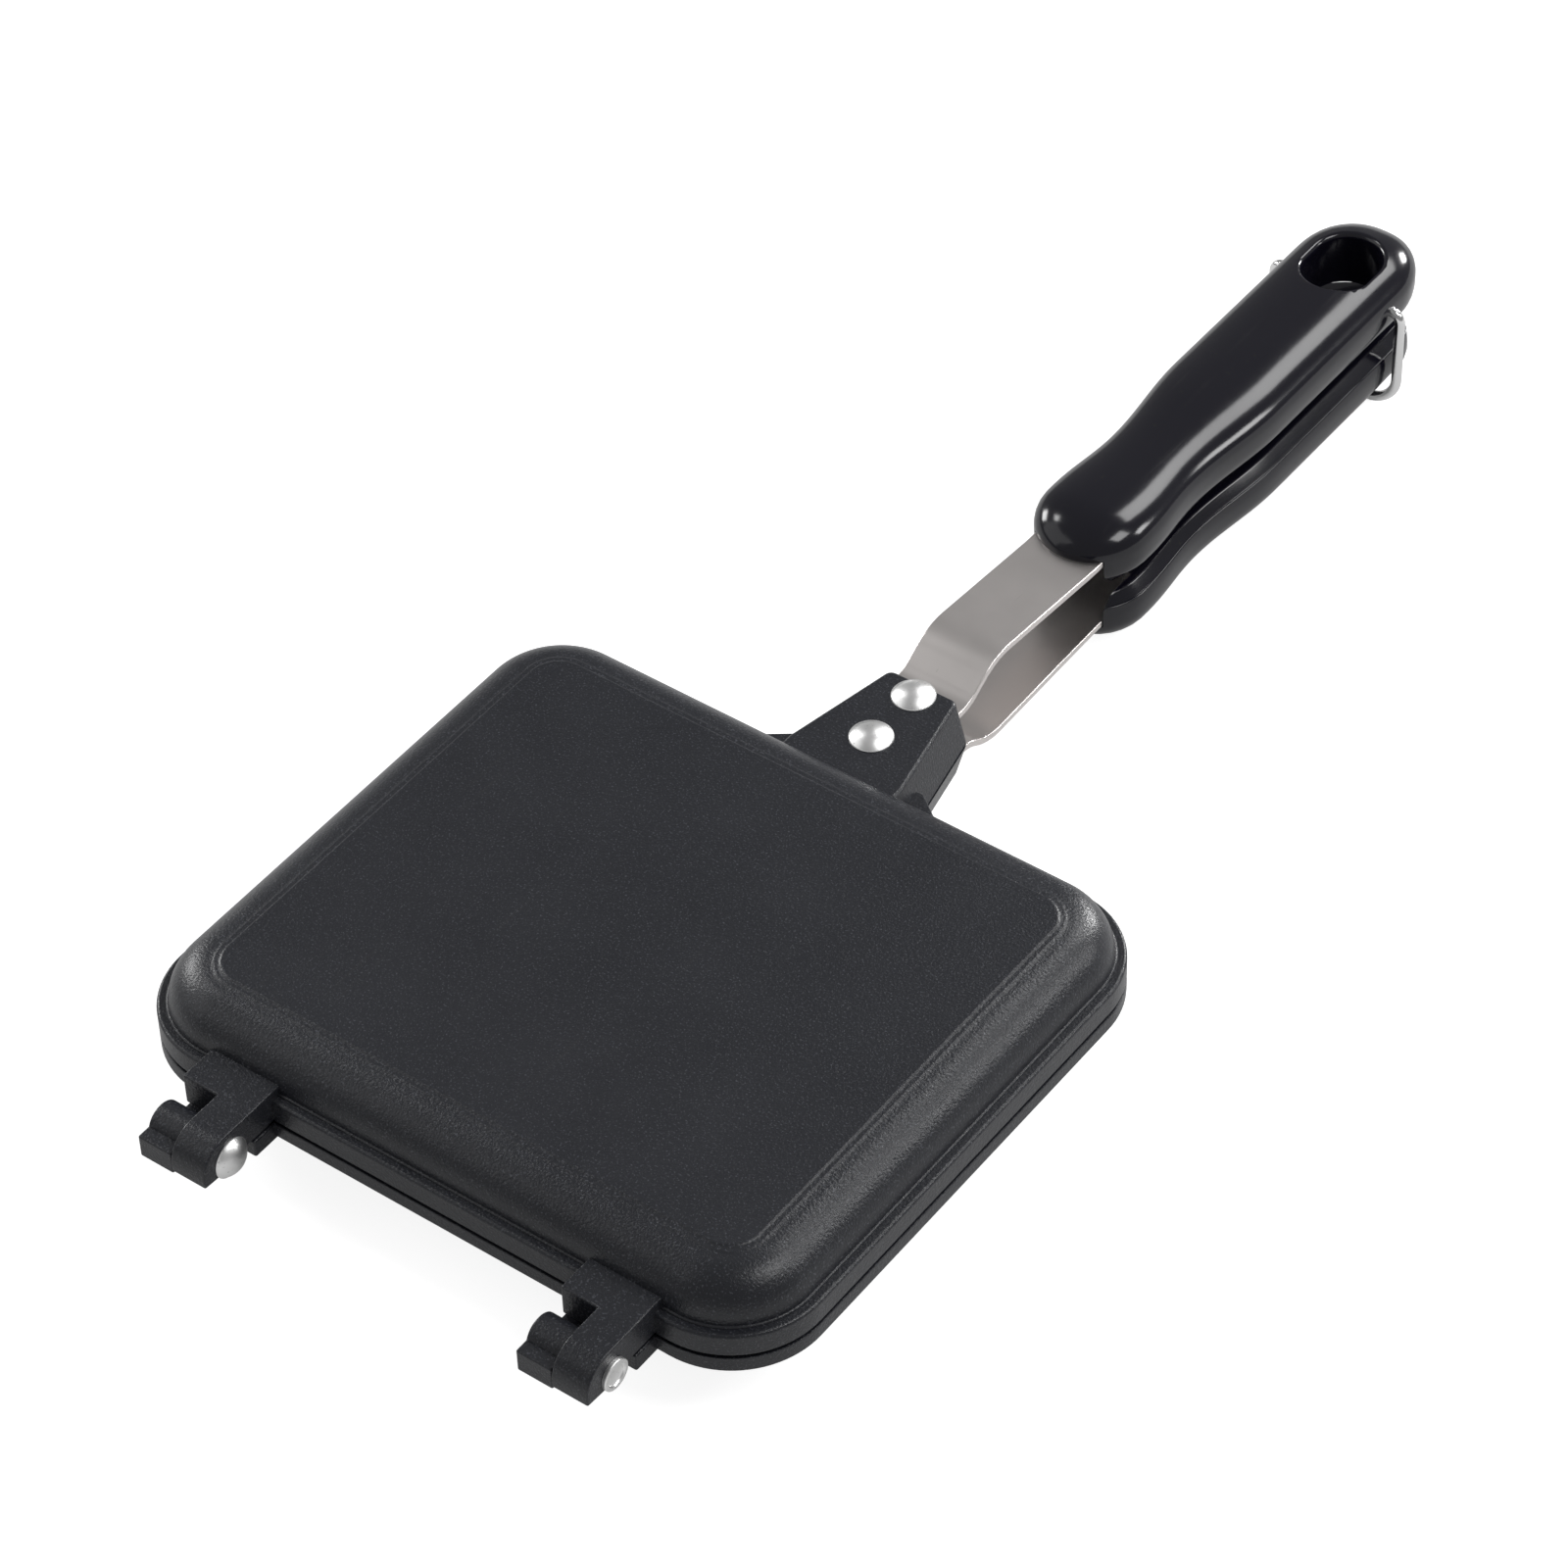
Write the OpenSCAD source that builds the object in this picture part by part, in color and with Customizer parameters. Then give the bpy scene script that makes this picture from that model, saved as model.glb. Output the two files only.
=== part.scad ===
// Hinged two-sided sandwich pan with long handles and a swinging wire latch.
// Millimetres. X runs side to side, Y from the hinge towards the handle ends, Z up.
// The origin is the centre of the lower pan's flat face, on which the closed pan rests.

/* [Pans] */
// Width of each pan half across its rims, side to side
pan_w = 146; // [130:1:170]
// Length of each pan half, hinge side to handle side
pan_l = 127; // [115:1:145]
// Plan radius of the rim corners
pan_corner_r = 19; // [17:0.5:24]
// Depth of each half, from the mating plane to its flat outer face
pan_d = 15; // [15:0.5:18]
// Thickness of the pan wall and floor
pan_wall = 3; // [2.5:0.1:3.5]
// Height of the upper half's rim face
upper_rim_h = 5.4; // [5:0.1:5.5]
// Height of the lower half's rim face
lower_rim_h = 4; // [3.5:0.1:5]
// Width of the flat ledge between the rim edge and the foot of the wall
ledge_w = 2.2; // [1.5:0.1:3]
// Radius of the upper half's rounded outer wall
upper_shoulder_r = 9; // [8:0.25:9]
// Radius of the lower half's rounded outer wall
lower_shoulder_r = 13; // [11:0.25:13]
// Radius of the fine bead along the foot of the wall
foot_bead_r = 0.45; // [0.3:0.05:0.6]
// Width of the narrow step round the flat face
step_w = 1.4; // [1:0.1:2]
// Height of the raised flat face above the shoulder
face_rise = 0.5; // [0.3:0.1:0.8]
// Edge rounding of the rim
rim_edge_r = 0.6; // [0.3:0.1:1]
// Height of the shadow line between the closed rims
seam_h = 0.8; // [0.4:0.1:1.2]
// Depth of the shadow line, in from the rim edge
seam_w = 2; // [1:0.25:3]

/* [Hinges] */
// Distance of each hinge's middle from the pan's side
hinge_in = 29.8; // [27:0.1:34]
// Width of each hinge, lower knuckle and upper arm together
hinge_w = 16.1; // [15:0.1:18]
// Width of the lower half's knuckle
knuckle_w = 7.8; // [6.5:0.1:8]
// Side gap between knuckle and arm
hinge_gap = 0.4; // [0.2:0.1:0.6]
// Reach of the root tabs in front of the rims
tab_l = 5.6; // [5:0.1:5.8]
// Height of the upper tabs and arms above the mating plane
upper_tab_h = 7.5; // [7:0.1:8]
// Height of the lower tabs
lower_tab_h = 4.4; // [4:0.1:5]
// Distance of the pin axis in front of the rims
pin_y = 11.9; // [11.8:0.1:12.6]
// Height of the pin axis above the mating plane
pin_z = 1.5; // [1.3:0.1:1.8]
// Radius of the rounded eyes about the pin
eye_r = 4; // [3.6:0.05:4.1]
// Reach of the knuckle's nose in front of the pin axis
nose_reach = 6.6; // [6:0.1:6.7]
// Height of the nose above the pin axis
nose_over = 1.4; // [0.8:0.1:1.6]
// Depth of the nose below the pin axis
nose_under = 3.8; // [3.5:0.1:4]
// Reach of the upper arm in front of the pin axis
arm_l = 7.2; // [6.6:0.1:7.3]
// Depth of the upper arm's square lower front corner below the pin axis
arm_drop = 2.2; // [2:0.1:2.4]
// Depth of the upper arm's flattened eye below the pin axis
eye_under = 2.6; // [2.5:0.1:3.4]
// Rounding of the upper arm's top front edge
arm_round = 6.3; // [4:0.1:6.5]
// Radius of the hinge pin's shank
pin_r = 1.75; // [1.6:0.05:1.9]
// Radius of the left pin's domed head
pin_head_r = 4.2; // [3.8:0.1:4.8]
// Height of the left pin's domed head
pin_head_h = 2.4; // [1.5:0.1:3]
// Radius of the right pin's hollow end
pin_ring_r = 3.3; // [3:0.1:4]
// Height of the right pin's hollow end
pin_ring_h = 0.9; // [0.6:0.1:1.2]
// Radius of the hole in the right pin
pin_bore_r = 1.1; // [0.9:0.1:1.2]
// Depth of the hole in the right pin
pin_bore_l = 3; // [1.5:0.5:5]
// Radius of the pins' flattened other ends
pin_tail_r = 2.9; // [2.6:0.1:3.2]
// Height of the pins' flattened other ends
pin_tail_h = 0.5; // [0.4:0.1:0.8]

/* [Lugs] */
// Half width of each lug where it leaves the pan
lug_root = 15.6; // [14.5:0.1:16]
// Half width of each lug at its tip
lug_tip = 10.4; // [10.3:0.1:11.5]
// Reach of each lug from the rim
lug_l = 25.5; // [24:0.5:28]
// Height of each lug above the mating plane
lug_h = 9.2; // [8.6:0.1:9.8]
// Draft of the lug's sides, degrees
lug_draft = 15.5; // [8:0.5:16]
// Rounding of the lug's tip corners
lug_round = 2; // [1.5:0.1:2.5]
// Reach of the corner webs along the rim, beyond the lug
web_w = 5.4; // [4:0.1:7]
// Reach of the corner webs along the lug
web_l = 4.6; // [3:0.1:6]
// Step from the rim's face down to the corner webs
web_step = 0.4; // [0.3:0.1:1]

/* [Straps] */
// Width of the strap between pan and handle
strap_w = 16; // [14:0.5:17]
// Thickness of the strap
strap_t = 1.5; // [1.2:0.1:2]
// Height of the strap's middle inside the lug, above the mating plane
strap_z = 5; // [4.5:0.1:5.4]
// Top of the upper strap's rise, middle of the metal
upper_peak = 10.4; // [9:0.1:11]
// Top of the lower strap's rise, middle of the metal
lower_peak = 9; // [8.5:0.1:11]
// Steepness of the rise behind the lug, degrees
rise_a = 32; // [25:1:40]
// Radius of the bend behind the lug
bend_low_r = 9; // [6:0.5:10]
// Radius of the bend at the top of the rise
bend_top_r = 13; // [9:0.5:14]
// Radius of the slight bend where the strap enters the handle
bend_entry_r = 20; // [10:1:30]
// Width of the tang inside the handle
tang_w = 12; // [10:0.5:13]
// Distance of the strap's pan end from the rim
strap_in = 1.7; // [1.5:0.1:2.5]
// Distance of the first bend's start from the rim
bend_in = 26.6; // [26:0.2:29]
// Distance the strap's last bend ends behind the handle's front
entry_in = 1.2; // [0.8:0.1:1.4]
// Distance behind the handle's front where the strap narrows to the tang
tang_in = 13; // [10:0.5:16]
// Length of the tang past the rear screw
tang_past = 10.7; // [8:0.1:11]
// Drop of the tang's middle below the handle's widest level
tang_low = 0.15; // [0.1:0.05:0.3]

/* [Rivets and screws] */
// Distance of the inner rivet from the rim
rivet_1 = 8.2; // [7:0.1:10]
// Distance of the outer rivet from the rim
rivet_2 = 22; // [20:0.1:22.5]
// Radius of the rivet's domed head
rivet_head_r = 4.4; // [3.5:0.1:4.6]
// Height of the rivet's domed head
rivet_head_h = 2; // [1.2:0.1:2.4]
// Radius of the rivet's shank
rivet_r = 2; // [1.5:0.1:2.4]
// Radius of the rivet's closed end under the strap
rivet_tail_r = 3.2; // [2.6:0.1:3.8]
// Height of the rivet's closed end
rivet_tail_h = 1.1; // [0.8:0.1:1.8]
// Distance of the front handle screw from the rim
screw_1 = 97; // [92:1:105]
// Distance of the rear handle screw from the rim
screw_2 = 147; // [130:1:149]
// Radius of the screw's shank
screw_r = 1.7; // [1.3:0.1:2]
// Radius of the screw's head
screw_head_r = 3.4; // [2.8:0.1:4]
// Height of the screw's head
screw_head_h = 2; // [1.5:0.1:2.4]
// Length of the screw below its head
screw_l = 6.4; // [5:0.1:6.5]
// Width of the cross slot in the screw's head
slot_w = 0.9; // [0.7:0.1:1.2]
// Length of the cross slot
slot_l = 4.4; // [3.6:0.1:5]
// Depth of the cross slot
slot_d = 1.2; // [0.8:0.1:1.4]

/* [Handles] */
// Distance of the handles' front ends from the rim
handle_y = 71.4; // [70:0.2:75]
// Length of the upper handle
upper_handle_l = 121; // [118:0.5:124]
// Length of the lower handle
lower_handle_l = 115.4; // [112:0.2:116]
// Half of the gap between the closed handles
handle_gap = 1.7; // [1:0.1:2.5]
// Height of the handle's widest level above the mating plane
handle_mid = 8; // [7.5:0.1:8.5]
// Height of the handle's crown above the mating plane
handle_top = 14.8; // [14:0.1:15]
// Half width at the bulb near the front end
bulb_w = 12.3; // [11.5:0.1:13]
// Half width at the waist
waist_w = 11; // [10.4:0.1:12]
// Half width along the straight grip
grip_w = 13.2; // [12:0.1:13.4]
// Distance behind the front where the bulb starts to narrow
bulb_y = 15; // [13:0.5:18]
// Distance of the waist behind the front
waist_y = 33; // [30:1:36]
// Distance behind the front where the straight grip starts
grip_y = 60; // [54:1:66]
// Length of the rounding in plan at the front
nose_l = 13; // [12:0.5:14]
// Length of the rounding in plan at the upper handle's rear end
upper_tail_l = 15.5; // [13:0.5:17]
// Length of the rounding in plan at the lower handle's rear end
lower_tail_l = 13; // [12:0.5:15]
// Length of the crown's rise at the front
nose_rise = 12; // [9:0.5:14]
// Length of the crown's fall at the upper handle's rear end
upper_tail_rise = 12.5; // [10:0.5:16]
// Length of the crown's fall at the lower handle's rear end
lower_tail_rise = 16; // [15.5:0.5:18]
// Dip of the crown at the waist
waist_dip = 0.5; // [0:0.1:1]
// Height of the stepped lip along the mating edge
lip_h = 2.3; // [1.5:0.1:3]
// Depth of the lip's step
lip_in = 0.4; // [0.2:0.1:0.6]
// Half width of the hanging hole
hang_r = 7.2; // [6:0.1:7.5]
// Length of the hanging hole
hang_l = 18.6; // [16:0.2:20]
// Distance of the hanging hole's middle from the upper handle's rear end
hang_in = 18.4; // [17.5:0.1:20]

/* [Latch] */
// Radius of the latch wire
wire_r = 1.1; // [0.9:0.05:1.3]
// Distance of the latch's pivot from the upper handle's rear end
pivot_in = 19.8; // [19.5:0.1:20.5]
// Height of the pivot above the mating plane
pivot_z = 8.1; // [7.8:0.1:8.3]
// Distance of each leg's middle from the centre line
leg_x = 15.3; // [15.2:0.1:16.5]
// Gap between the crossbar and the lower handle
latch_gap = 0.2; // [0.1:0.05:0.5]
// Radius of the corners between legs and crossbar
latch_corner_r = 7; // [6:0.5:8]
// Radius of the bends between pivot stubs and legs
stub_bend_r = 2.2; // [1.6:0.1:2.5]
// Distance of each stub's inner end from the centre line
stub_x = 9; // [8.8:0.1:10]

/* [Fits] */
// Radial clearance of turning fits
run_fit = 0.05; // [0.02:0.01:0.1]
// Radial clearance of fixed rivets, pins and screws
seat_fit = 0.02; // [0.01:0.01:0.05]
// Side clearance of the straps in their pockets
slot_fit = 0.2; // [0.1:0.05:0.4]
// Clearance above the straps in their pockets
roof_fit = 0.05; // [0.02:0.01:0.2]

/* [Hidden] */
$fn = 64;
hinge_x = pan_w / 2 - hinge_in;
arm_w = hinge_w - knuckle_w - hinge_gap;
corner_x = pan_w / 2 - pan_corner_r;
corner_y = pan_l / 2 - pan_corner_r;
wall_x = pan_corner_r - ledge_w;
floor_t = pan_wall + face_rise;
back_y = pan_l;
strap_y = back_y + strap_in;
strap_end = back_y + screw_2 + tang_past;
front_y = back_y + handle_y;
bend_y = back_y + bend_in;
entry_y = front_y + entry_in;
tang_z = handle_mid - tang_low;
tang_y = front_y + tang_in;
pivot_y = front_y + upper_handle_l - pivot_in;
crossbar_z = -(handle_top + latch_gap + wire_r);
cut_h = 30;
plan_pow = 2;
crown_pow = 2.4;
crown_steps = 20;

// Children are drawn from the middle of the hinge-side rim edge on the mating plane.
module placed() {
  translate([0, -pan_l / 2, pan_d]) children();
}

// The same, turned over for the lower half.
module placed_lower() {
  placed() mirror([0, 0, 1]) children();
}

// Side profile, x towards the handles and y up, drawn out to the right from x0.
module side_run(x0, w) {
  translate([x0, 0, 0]) rotate([90, 0, 90]) linear_extrude(w) children();
}

// ---- Pan halves, mating plane at z = 0, flat face up ----

// Wall section: x outwards from the corner's centre, y up from the mating plane.
module wall_section(rim_h, round_r) {
  round_x = wall_x - round_r;
  round_z = pan_d - face_rise - round_r;
  difference() {
    intersection() {
      union() {
        square([pan_corner_r - rim_edge_r, rim_h]);
        square([pan_corner_r, rim_h - rim_edge_r]);
        translate([pan_corner_r - rim_edge_r, rim_h - rim_edge_r]) circle(rim_edge_r);
        translate([wall_x, rim_h]) circle(foot_bead_r);
        square([wall_x, round_z]);
        translate([round_x, round_z]) circle(round_r);
        square([round_x, pan_d - face_rise / 2]);
        square([round_x - step_w, pan_d]);
      }
      square([pan_corner_r, pan_d]);
    }
    translate([-1, -1]) square([wall_x - pan_wall + 1, round_z + 1]);
    translate([round_x, round_z]) circle(round_r - pan_wall);
    translate([-1, -1]) square([round_x + 1, pan_d - floor_t + 1]);
    translate([pan_corner_r - seam_w, -1]) square([seam_w + 1, 1 + seam_h / 2]);
  }
}

module pan_shell(rim_h, round_r) {
  translate([0, pan_l / 2, 0]) {
    for (q = [0:3]) {
      out = q % 2 == 0 ? corner_x : corner_y;
      along = q % 2 == 0 ? corner_y : corner_x;
      rotate(90 * q) {
        translate([out, along, 0]) rotate([90, 0, 0]) linear_extrude(2 * along) {
          wall_section(rim_h, round_r);
        }
        translate([out, along, 0]) rotate_extrude(angle = 90) wall_section(rim_h, round_r);
      }
    }
    translate([-corner_x, -corner_y, pan_d - floor_t]) cube([2 * corner_x, 2 * corner_y, floor_t]);
  }
}

// Everything to the left of the lug's leaning right side.
module lug_side(lean) {
  translate([lug_root, 0, 0]) rotate(atan(lean)) rotate([0, -lug_draft, 0]) translate([-60, -10, -5]) {
    cube([60, 60, cut_h]);
  }
}

// Lug with its side draft and corner webs, solid, before the strap pocket and rivet holes.
module lug_block(rim_h) {
  lean = (lug_root - lug_tip) / lug_l;
  reach = lug_l - lug_round;
  translate([0, back_y, 0]) {
    intersection() {
      translate([0, 0, seam_h / 2]) linear_extrude(lug_h - seam_h / 2) {
        polygon([[-lug_root, -ledge_w - 1], [lug_root, -ledge_w - 1], [lug_root, 0], [lug_tip, reach],
          [lug_tip - lug_round, lug_l], [-lug_tip + lug_round, lug_l], [-lug_tip, reach], [-lug_root, 0]]);
        for (s = [-1, 1]) translate([s * (lug_tip - lug_round), reach]) circle(lug_round);
      }
      lug_side(lean);
      mirror([1, 0, 0]) lug_side(lean);
    }
    for (s = [0, 1]) mirror([s, 0, 0]) translate([0, 0, seam_h / 2]) {
      linear_extrude(rim_h - web_step - seam_h / 2) polygon([[lug_tip, -1], [lug_root + web_w, -1],
        [lug_root + web_w, 0], [lug_root - lean * web_l, web_l], [lug_tip, web_l]]);
    }
  }
}

module lug_cuts() {
  half = strap_w / 2 + slot_fit;
  translate([-half, strap_y - slot_fit, -1]) cube([2 * half, 40, 1 + strap_z + strap_t / 2 + roof_fit]);
  for (d = [rivet_1, rivet_2]) translate([0, back_y + d, 0]) cylinder(r = rivet_r + seat_fit, h = cut_h);
}

module pan_half(rim_h, round_r) {
  difference() {
    union() {
      pan_shell(rim_h, round_r);
      lug_block(rim_h);
    }
    lug_cuts();
  }
}

// Root tabs in front of the rim, running back over its ledge to the wall.
module root_tabs(top) {
  for (s = [-1, 1]) translate([s * hinge_x - hinge_w / 2, -tab_l, seam_h / 2]) {
    cube([hinge_w, tab_l + ledge_w + 1, top - seam_h / 2]);
  }
}

// Upper arm in side view, pin at its own centre.
module arm_profile() {
  top = upper_tab_h - pin_z;
  low = seam_h / 2 - pin_z;
  difference() {
    union() {
      intersection() {
        circle(eye_r);
        translate([-eye_r, -eye_under]) square(2 * eye_r);
      }
      translate([-arm_l, -arm_drop]) square([arm_l, arm_drop + max(top - arm_round, 0)]);
      intersection() {
        translate([-arm_l, 0]) square([arm_l, top]);
        union() {
          translate([arm_round - arm_l, top - arm_round]) circle(arm_round);
          translate([arm_round - arm_l, 0]) square([arm_l, top]);
        }
      }
      translate([0, low]) square([pin_y - tab_l + 1, top - low]);
    }
    circle(pin_r + run_fit);
  }
}

// Lower knuckle in side view, pin at its own centre.
module knuckle_profile() {
  tab_y = pin_y - tab_l + 1;
  difference() {
    union() {
      circle(eye_r);
      polygon([[-nose_reach, -nose_under], [0, -nose_under], [tab_y - 1, -lower_tab_h - pin_z],
        [tab_y, -lower_tab_h - pin_z], [tab_y, -seam_h / 2 - pin_z], [0, -seam_h / 2 - pin_z],
        [0, nose_over], [-nose_reach, nose_over]]);
    }
    circle(pin_r + seat_fit);
  }
}

// A hinge part's side view set at both hinges, from x0 left of the hinge's middle.
module at_hinges(x0, w) {
  for (s = [-1, 1]) side_run(s * hinge_x + x0, w) translate([-pin_y, pin_z]) children();
}

module upper_pan() {
  color("#343437") placed() {
    pan_half(upper_rim_h, upper_shoulder_r);
    root_tabs(upper_tab_h);
    at_hinges(hinge_w / 2 - arm_w, arm_w) arm_profile();
  }
}

module lower_pan() {
  color("#2f2f32") {
    placed_lower() {
      pan_half(lower_rim_h, lower_shoulder_r);
      root_tabs(lower_tab_h);
    }
    placed() at_hinges(-hinge_w / 2, knuckle_w) knuckle_profile();
  }
}

// ---- Straps, mating plane at z = 0 ----

// Points of a bend's middle line, as [y, z, heading], from heading a to heading b about a centre.
function bend_line(centre, r, a, b, steps = 12) = [for (i = [0:steps]) let (h = a + (b - a) * i / steps,
  s = sign(b - a)) [centre[0] + s * r * sin(h), centre[1] - s * r * cos(h), h]];

// The strap in side view, from its end in the lug to the tang's end.
module strap_profile(peak) {
  both_r = bend_low_r + bend_top_r;
  climb = (peak - strap_z - both_r * (1 - cos(rise_a))) / sin(rise_a);
  top_y = bend_y + both_r * sin(rise_a) + climb * cos(rise_a);
  down_r = bend_top_r + bend_entry_r;
  off = down_r - (peak - tang_z);
  fall = asin(down_r / norm([entry_y - top_y, off])) - atan2(off, entry_y - top_y);
  line = concat([[strap_y, strap_z, 0]],
    bend_line([bend_y, strap_z + bend_low_r], bend_low_r, 0, rise_a),
    bend_line([top_y, peak - bend_top_r], bend_top_r, rise_a, -fall),
    bend_line([entry_y, tang_z + bend_entry_r], bend_entry_r, -fall, 0, 3),
    [[strap_end, tang_z, 0]]);
  half = strap_t / 2;
  over = [for (q = line) [q[0] - half * sin(q[2]), q[1] + half * cos(q[2])]];
  under = [for (i = [len(line) - 1:-1:0]) let (q = line[i])
    [q[0] + half * sin(q[2]), q[1] - half * cos(q[2])]];
  polygon(concat(over, under));
}

module strap(peak) {
  difference() {
    intersection() {
      side_run(-strap_w / 2, strap_w) strap_profile(peak);
      union() {
        translate([-strap_w / 2, strap_y, 0]) cube([strap_w, tang_y - strap_y, 20]);
        translate([-tang_w / 2, strap_y, 0]) cube([tang_w, strap_end - strap_y, 20]);
      }
    }
    for (d = [rivet_1, rivet_2]) translate([0, back_y + d, 0]) cylinder(r = rivet_r + seat_fit, h = 20);
    for (d = [screw_1, screw_2]) translate([0, back_y + d, 0]) cylinder(r = screw_r + seat_fit, h = 20);
  }
}

module upper_strap() {
  color("#c9c5c0") placed() strap(upper_peak);
}

module lower_strap() {
  color("#c9c5c0") placed_lower() strap(lower_peak);
}

// ---- Rivets, pins and screws ----

// Domed head of radius r and height h standing on z = 0.
module dome(r, h) {
  ball = (r * r + h * h) / (2 * h);
  rotate_extrude() intersection() {
    translate([0, h - ball]) circle(ball);
    square([r, h]);
  }
}

module rivet(d) {
  tail_z = strap_z - strap_t / 2;
  translate([0, back_y + d, 0]) {
    translate([0, 0, lug_h]) dome(rivet_head_r, rivet_head_h);
    translate([0, 0, tail_z - rivet_tail_h / 2]) cylinder(r = rivet_r, h = lug_h - tail_z + rivet_tail_h);
    translate([0, 0, tail_z]) mirror([0, 0, 1]) dome(rivet_tail_r, rivet_tail_h);
  }
}

module upper_rivet_inner() {
  color("#e6e6e4") placed() rivet(rivet_1);
}

module upper_rivet_outer() {
  color("#e6e6e4") placed() rivet(rivet_2);
}

module lower_rivet_inner() {
  color("#e6e6e4") placed_lower() rivet(rivet_1);
}

module lower_rivet_outer() {
  color("#e6e6e4") placed_lower() rivet(rivet_2);
}

// Pin lying along X with its flattened end at x = 0 and its other end to the right.
module hinge_pin() {
  rotate([0, 90, 0]) {
    translate([0, 0, -pin_tail_h / 2]) cylinder(r = pin_r, h = hinge_w + pin_tail_h);
    translate([0, 0, -pin_tail_h]) cylinder(r = pin_tail_r, h = pin_tail_h);
  }
}

module hinge_pin_left() {
  color("#d9d9d7") placed() translate([-hinge_x - hinge_w / 2, -pin_y, pin_z]) {
    hinge_pin();
    translate([hinge_w, 0, 0]) rotate([0, 90, 0]) dome(pin_head_r, pin_head_h);
  }
}

module hinge_pin_right() {
  color("#d9d9d7") placed() translate([hinge_x - hinge_w / 2, -pin_y, pin_z]) difference() {
    union() {
      hinge_pin();
      translate([hinge_w, 0, 0]) rotate([0, 90, 0]) cylinder(r = pin_ring_r, h = pin_ring_h);
    }
    translate([hinge_w + pin_ring_h - pin_bore_l, 0, 0]) rotate([0, 90, 0]) {
      cylinder(r = pin_bore_r, h = cut_h);
    }
  }
}

// Screw driven up through the tang into the handle, head on the tang's inner face.
module screw(d) {
  seat_z = tang_z - strap_t / 2;
  translate([0, back_y + d, seat_z]) difference() {
    union() {
      cylinder(r = screw_r, h = screw_l);
      mirror([0, 0, 1]) cylinder(r = screw_head_r, h = screw_head_h);
    }
    for (a = [0, 90]) rotate(a) translate([-slot_l / 2, -slot_w / 2, -screw_head_h - 1]) {
      cube([slot_l, slot_w, 1 + slot_d]);
    }
  }
}

module upper_screw_front() {
  color("#c4c4c2") placed() screw(screw_1);
}

module upper_screw_rear() {
  color("#c4c4c2") placed() screw(screw_2);
}

module lower_screw_front() {
  color("#c4c4c2") placed_lower() screw(screw_1);
}

module lower_screw_rear() {
  color("#c4c4c2") placed_lower() screw(screw_2);
}

// ---- Handles, mating plane at z = 0, crown up ----

function ease(t) = t <= 0 ? 0 : t >= 1 ? 1 : (1 - cos(180 * t)) / 2;
function swell(t, p) = t >= 1 ? 1 : pow(1 - pow(1 - max(t, 0), p), 1 / p);
function between(d, a, b) = ease((d - a) / (b - a));
function half_w(d) = bulb_w + (waist_w - bulb_w) * between(d, bulb_y, waist_y)
  + (grip_w - waist_w) * between(d, waist_y, grip_y);
function crown_h(d) = handle_top - handle_mid
  - waist_dip * (between(d, bulb_y - 3, waist_y - 1) - between(d, waist_y + 1, grip_y - 2));

// Places along the handle where its section is drawn: close together at both rounded ends.
function stations(len, tail) = concat(
  [for (i = [1:8]) nose_l * (1 - cos(i * 11.25))],
  [for (i = [1:14]) nose_l + (len - nose_l - tail) * i / 14],
  [for (i = [1:8]) len - tail * (1 - sin(i * 11.25 * 0.975))]);

// Factors that close the ends in plan and in height.
function plan_f(d, len, tail) = swell(d / nose_l, plan_pow) * swell((len - d) / tail, plan_pow);
function rise_f(d, len, tail) = swell(d / nose_rise, 2) * swell((len - d) / tail, 2);

// Share of the widest half width at a level below it.
function flank(z) = pow(1 - pow((handle_mid - z) / 8.8, 3), 1 / 3);

function crown_pt(a) = [sign(cos(a)) * pow(abs(cos(a)), 2 / crown_pow), pow(sin(a), 2 / crown_pow)];

// One section, as [x, z] pairs, anticlockwise from the lower right.
function section(w, h) = let (
  lip_z = handle_gap + lip_h,
  inset = min(lip_in, w / 4),
  right = [[w * flank(handle_gap) - inset, handle_gap], [w * flank(lip_z) - inset, lip_z],
    [w * flank(lip_z), lip_z], [w * flank(6), 6]],
  crown = [for (i = [0:crown_steps]) let (q = crown_pt(180 * i / crown_steps))
    [w * q[0], handle_mid + h * q[1]]],
  left = [for (i = [3:-1:0]) [-right[i][0], right[i][1]]]) concat(right, crown, left);

module handle_body(len, tail_l, tail_rise) {
  places = stations(len, max(tail_l, tail_rise));
  rings = [for (d = places) let (w = half_w(d) * plan_f(d, len, tail_l))
    [for (q = section(w, crown_h(d) * rise_f(d, len, tail_rise))) [q[0], d, q[1]]]];
  n = len(rings[0]);
  last = len(places) - 1;
  points = [for (ring = rings) each ring];
  sides = [for (i = [0:last - 1], j = [0:n - 1]) let (a = i * n + j, b = i * n + (j + 1) % n)
    each [[a, b, a + n], [b, b + n, a + n]]];
  front = [[for (j = [n - 1:-1:0]) j]];
  rear = [[for (j = [0:n - 1]) last * n + j]];
  translate([0, front_y, 0]) polyhedron(points, concat(sides, front, rear));
}

// Room for the strap, its tang and the screws, open towards the mating plane.
module handle_cuts() {
  top = tang_z + strap_t / 2 + roof_fit;
  wide = strap_w / 2 + slot_fit;
  slim = tang_w / 2 + slot_fit;
  translate([-wide, front_y - 5, 0]) cube([2 * wide, 5 + tang_in + slot_fit, top]);
  translate([-slim, front_y, 0]) cube([2 * slim, strap_end - front_y + slot_fit, top]);
  for (d = [screw_1, screw_2]) translate([0, back_y + d, 0]) {
    cylinder(r = screw_r + seat_fit, h = top + screw_l - strap_t);
  }
}

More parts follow.
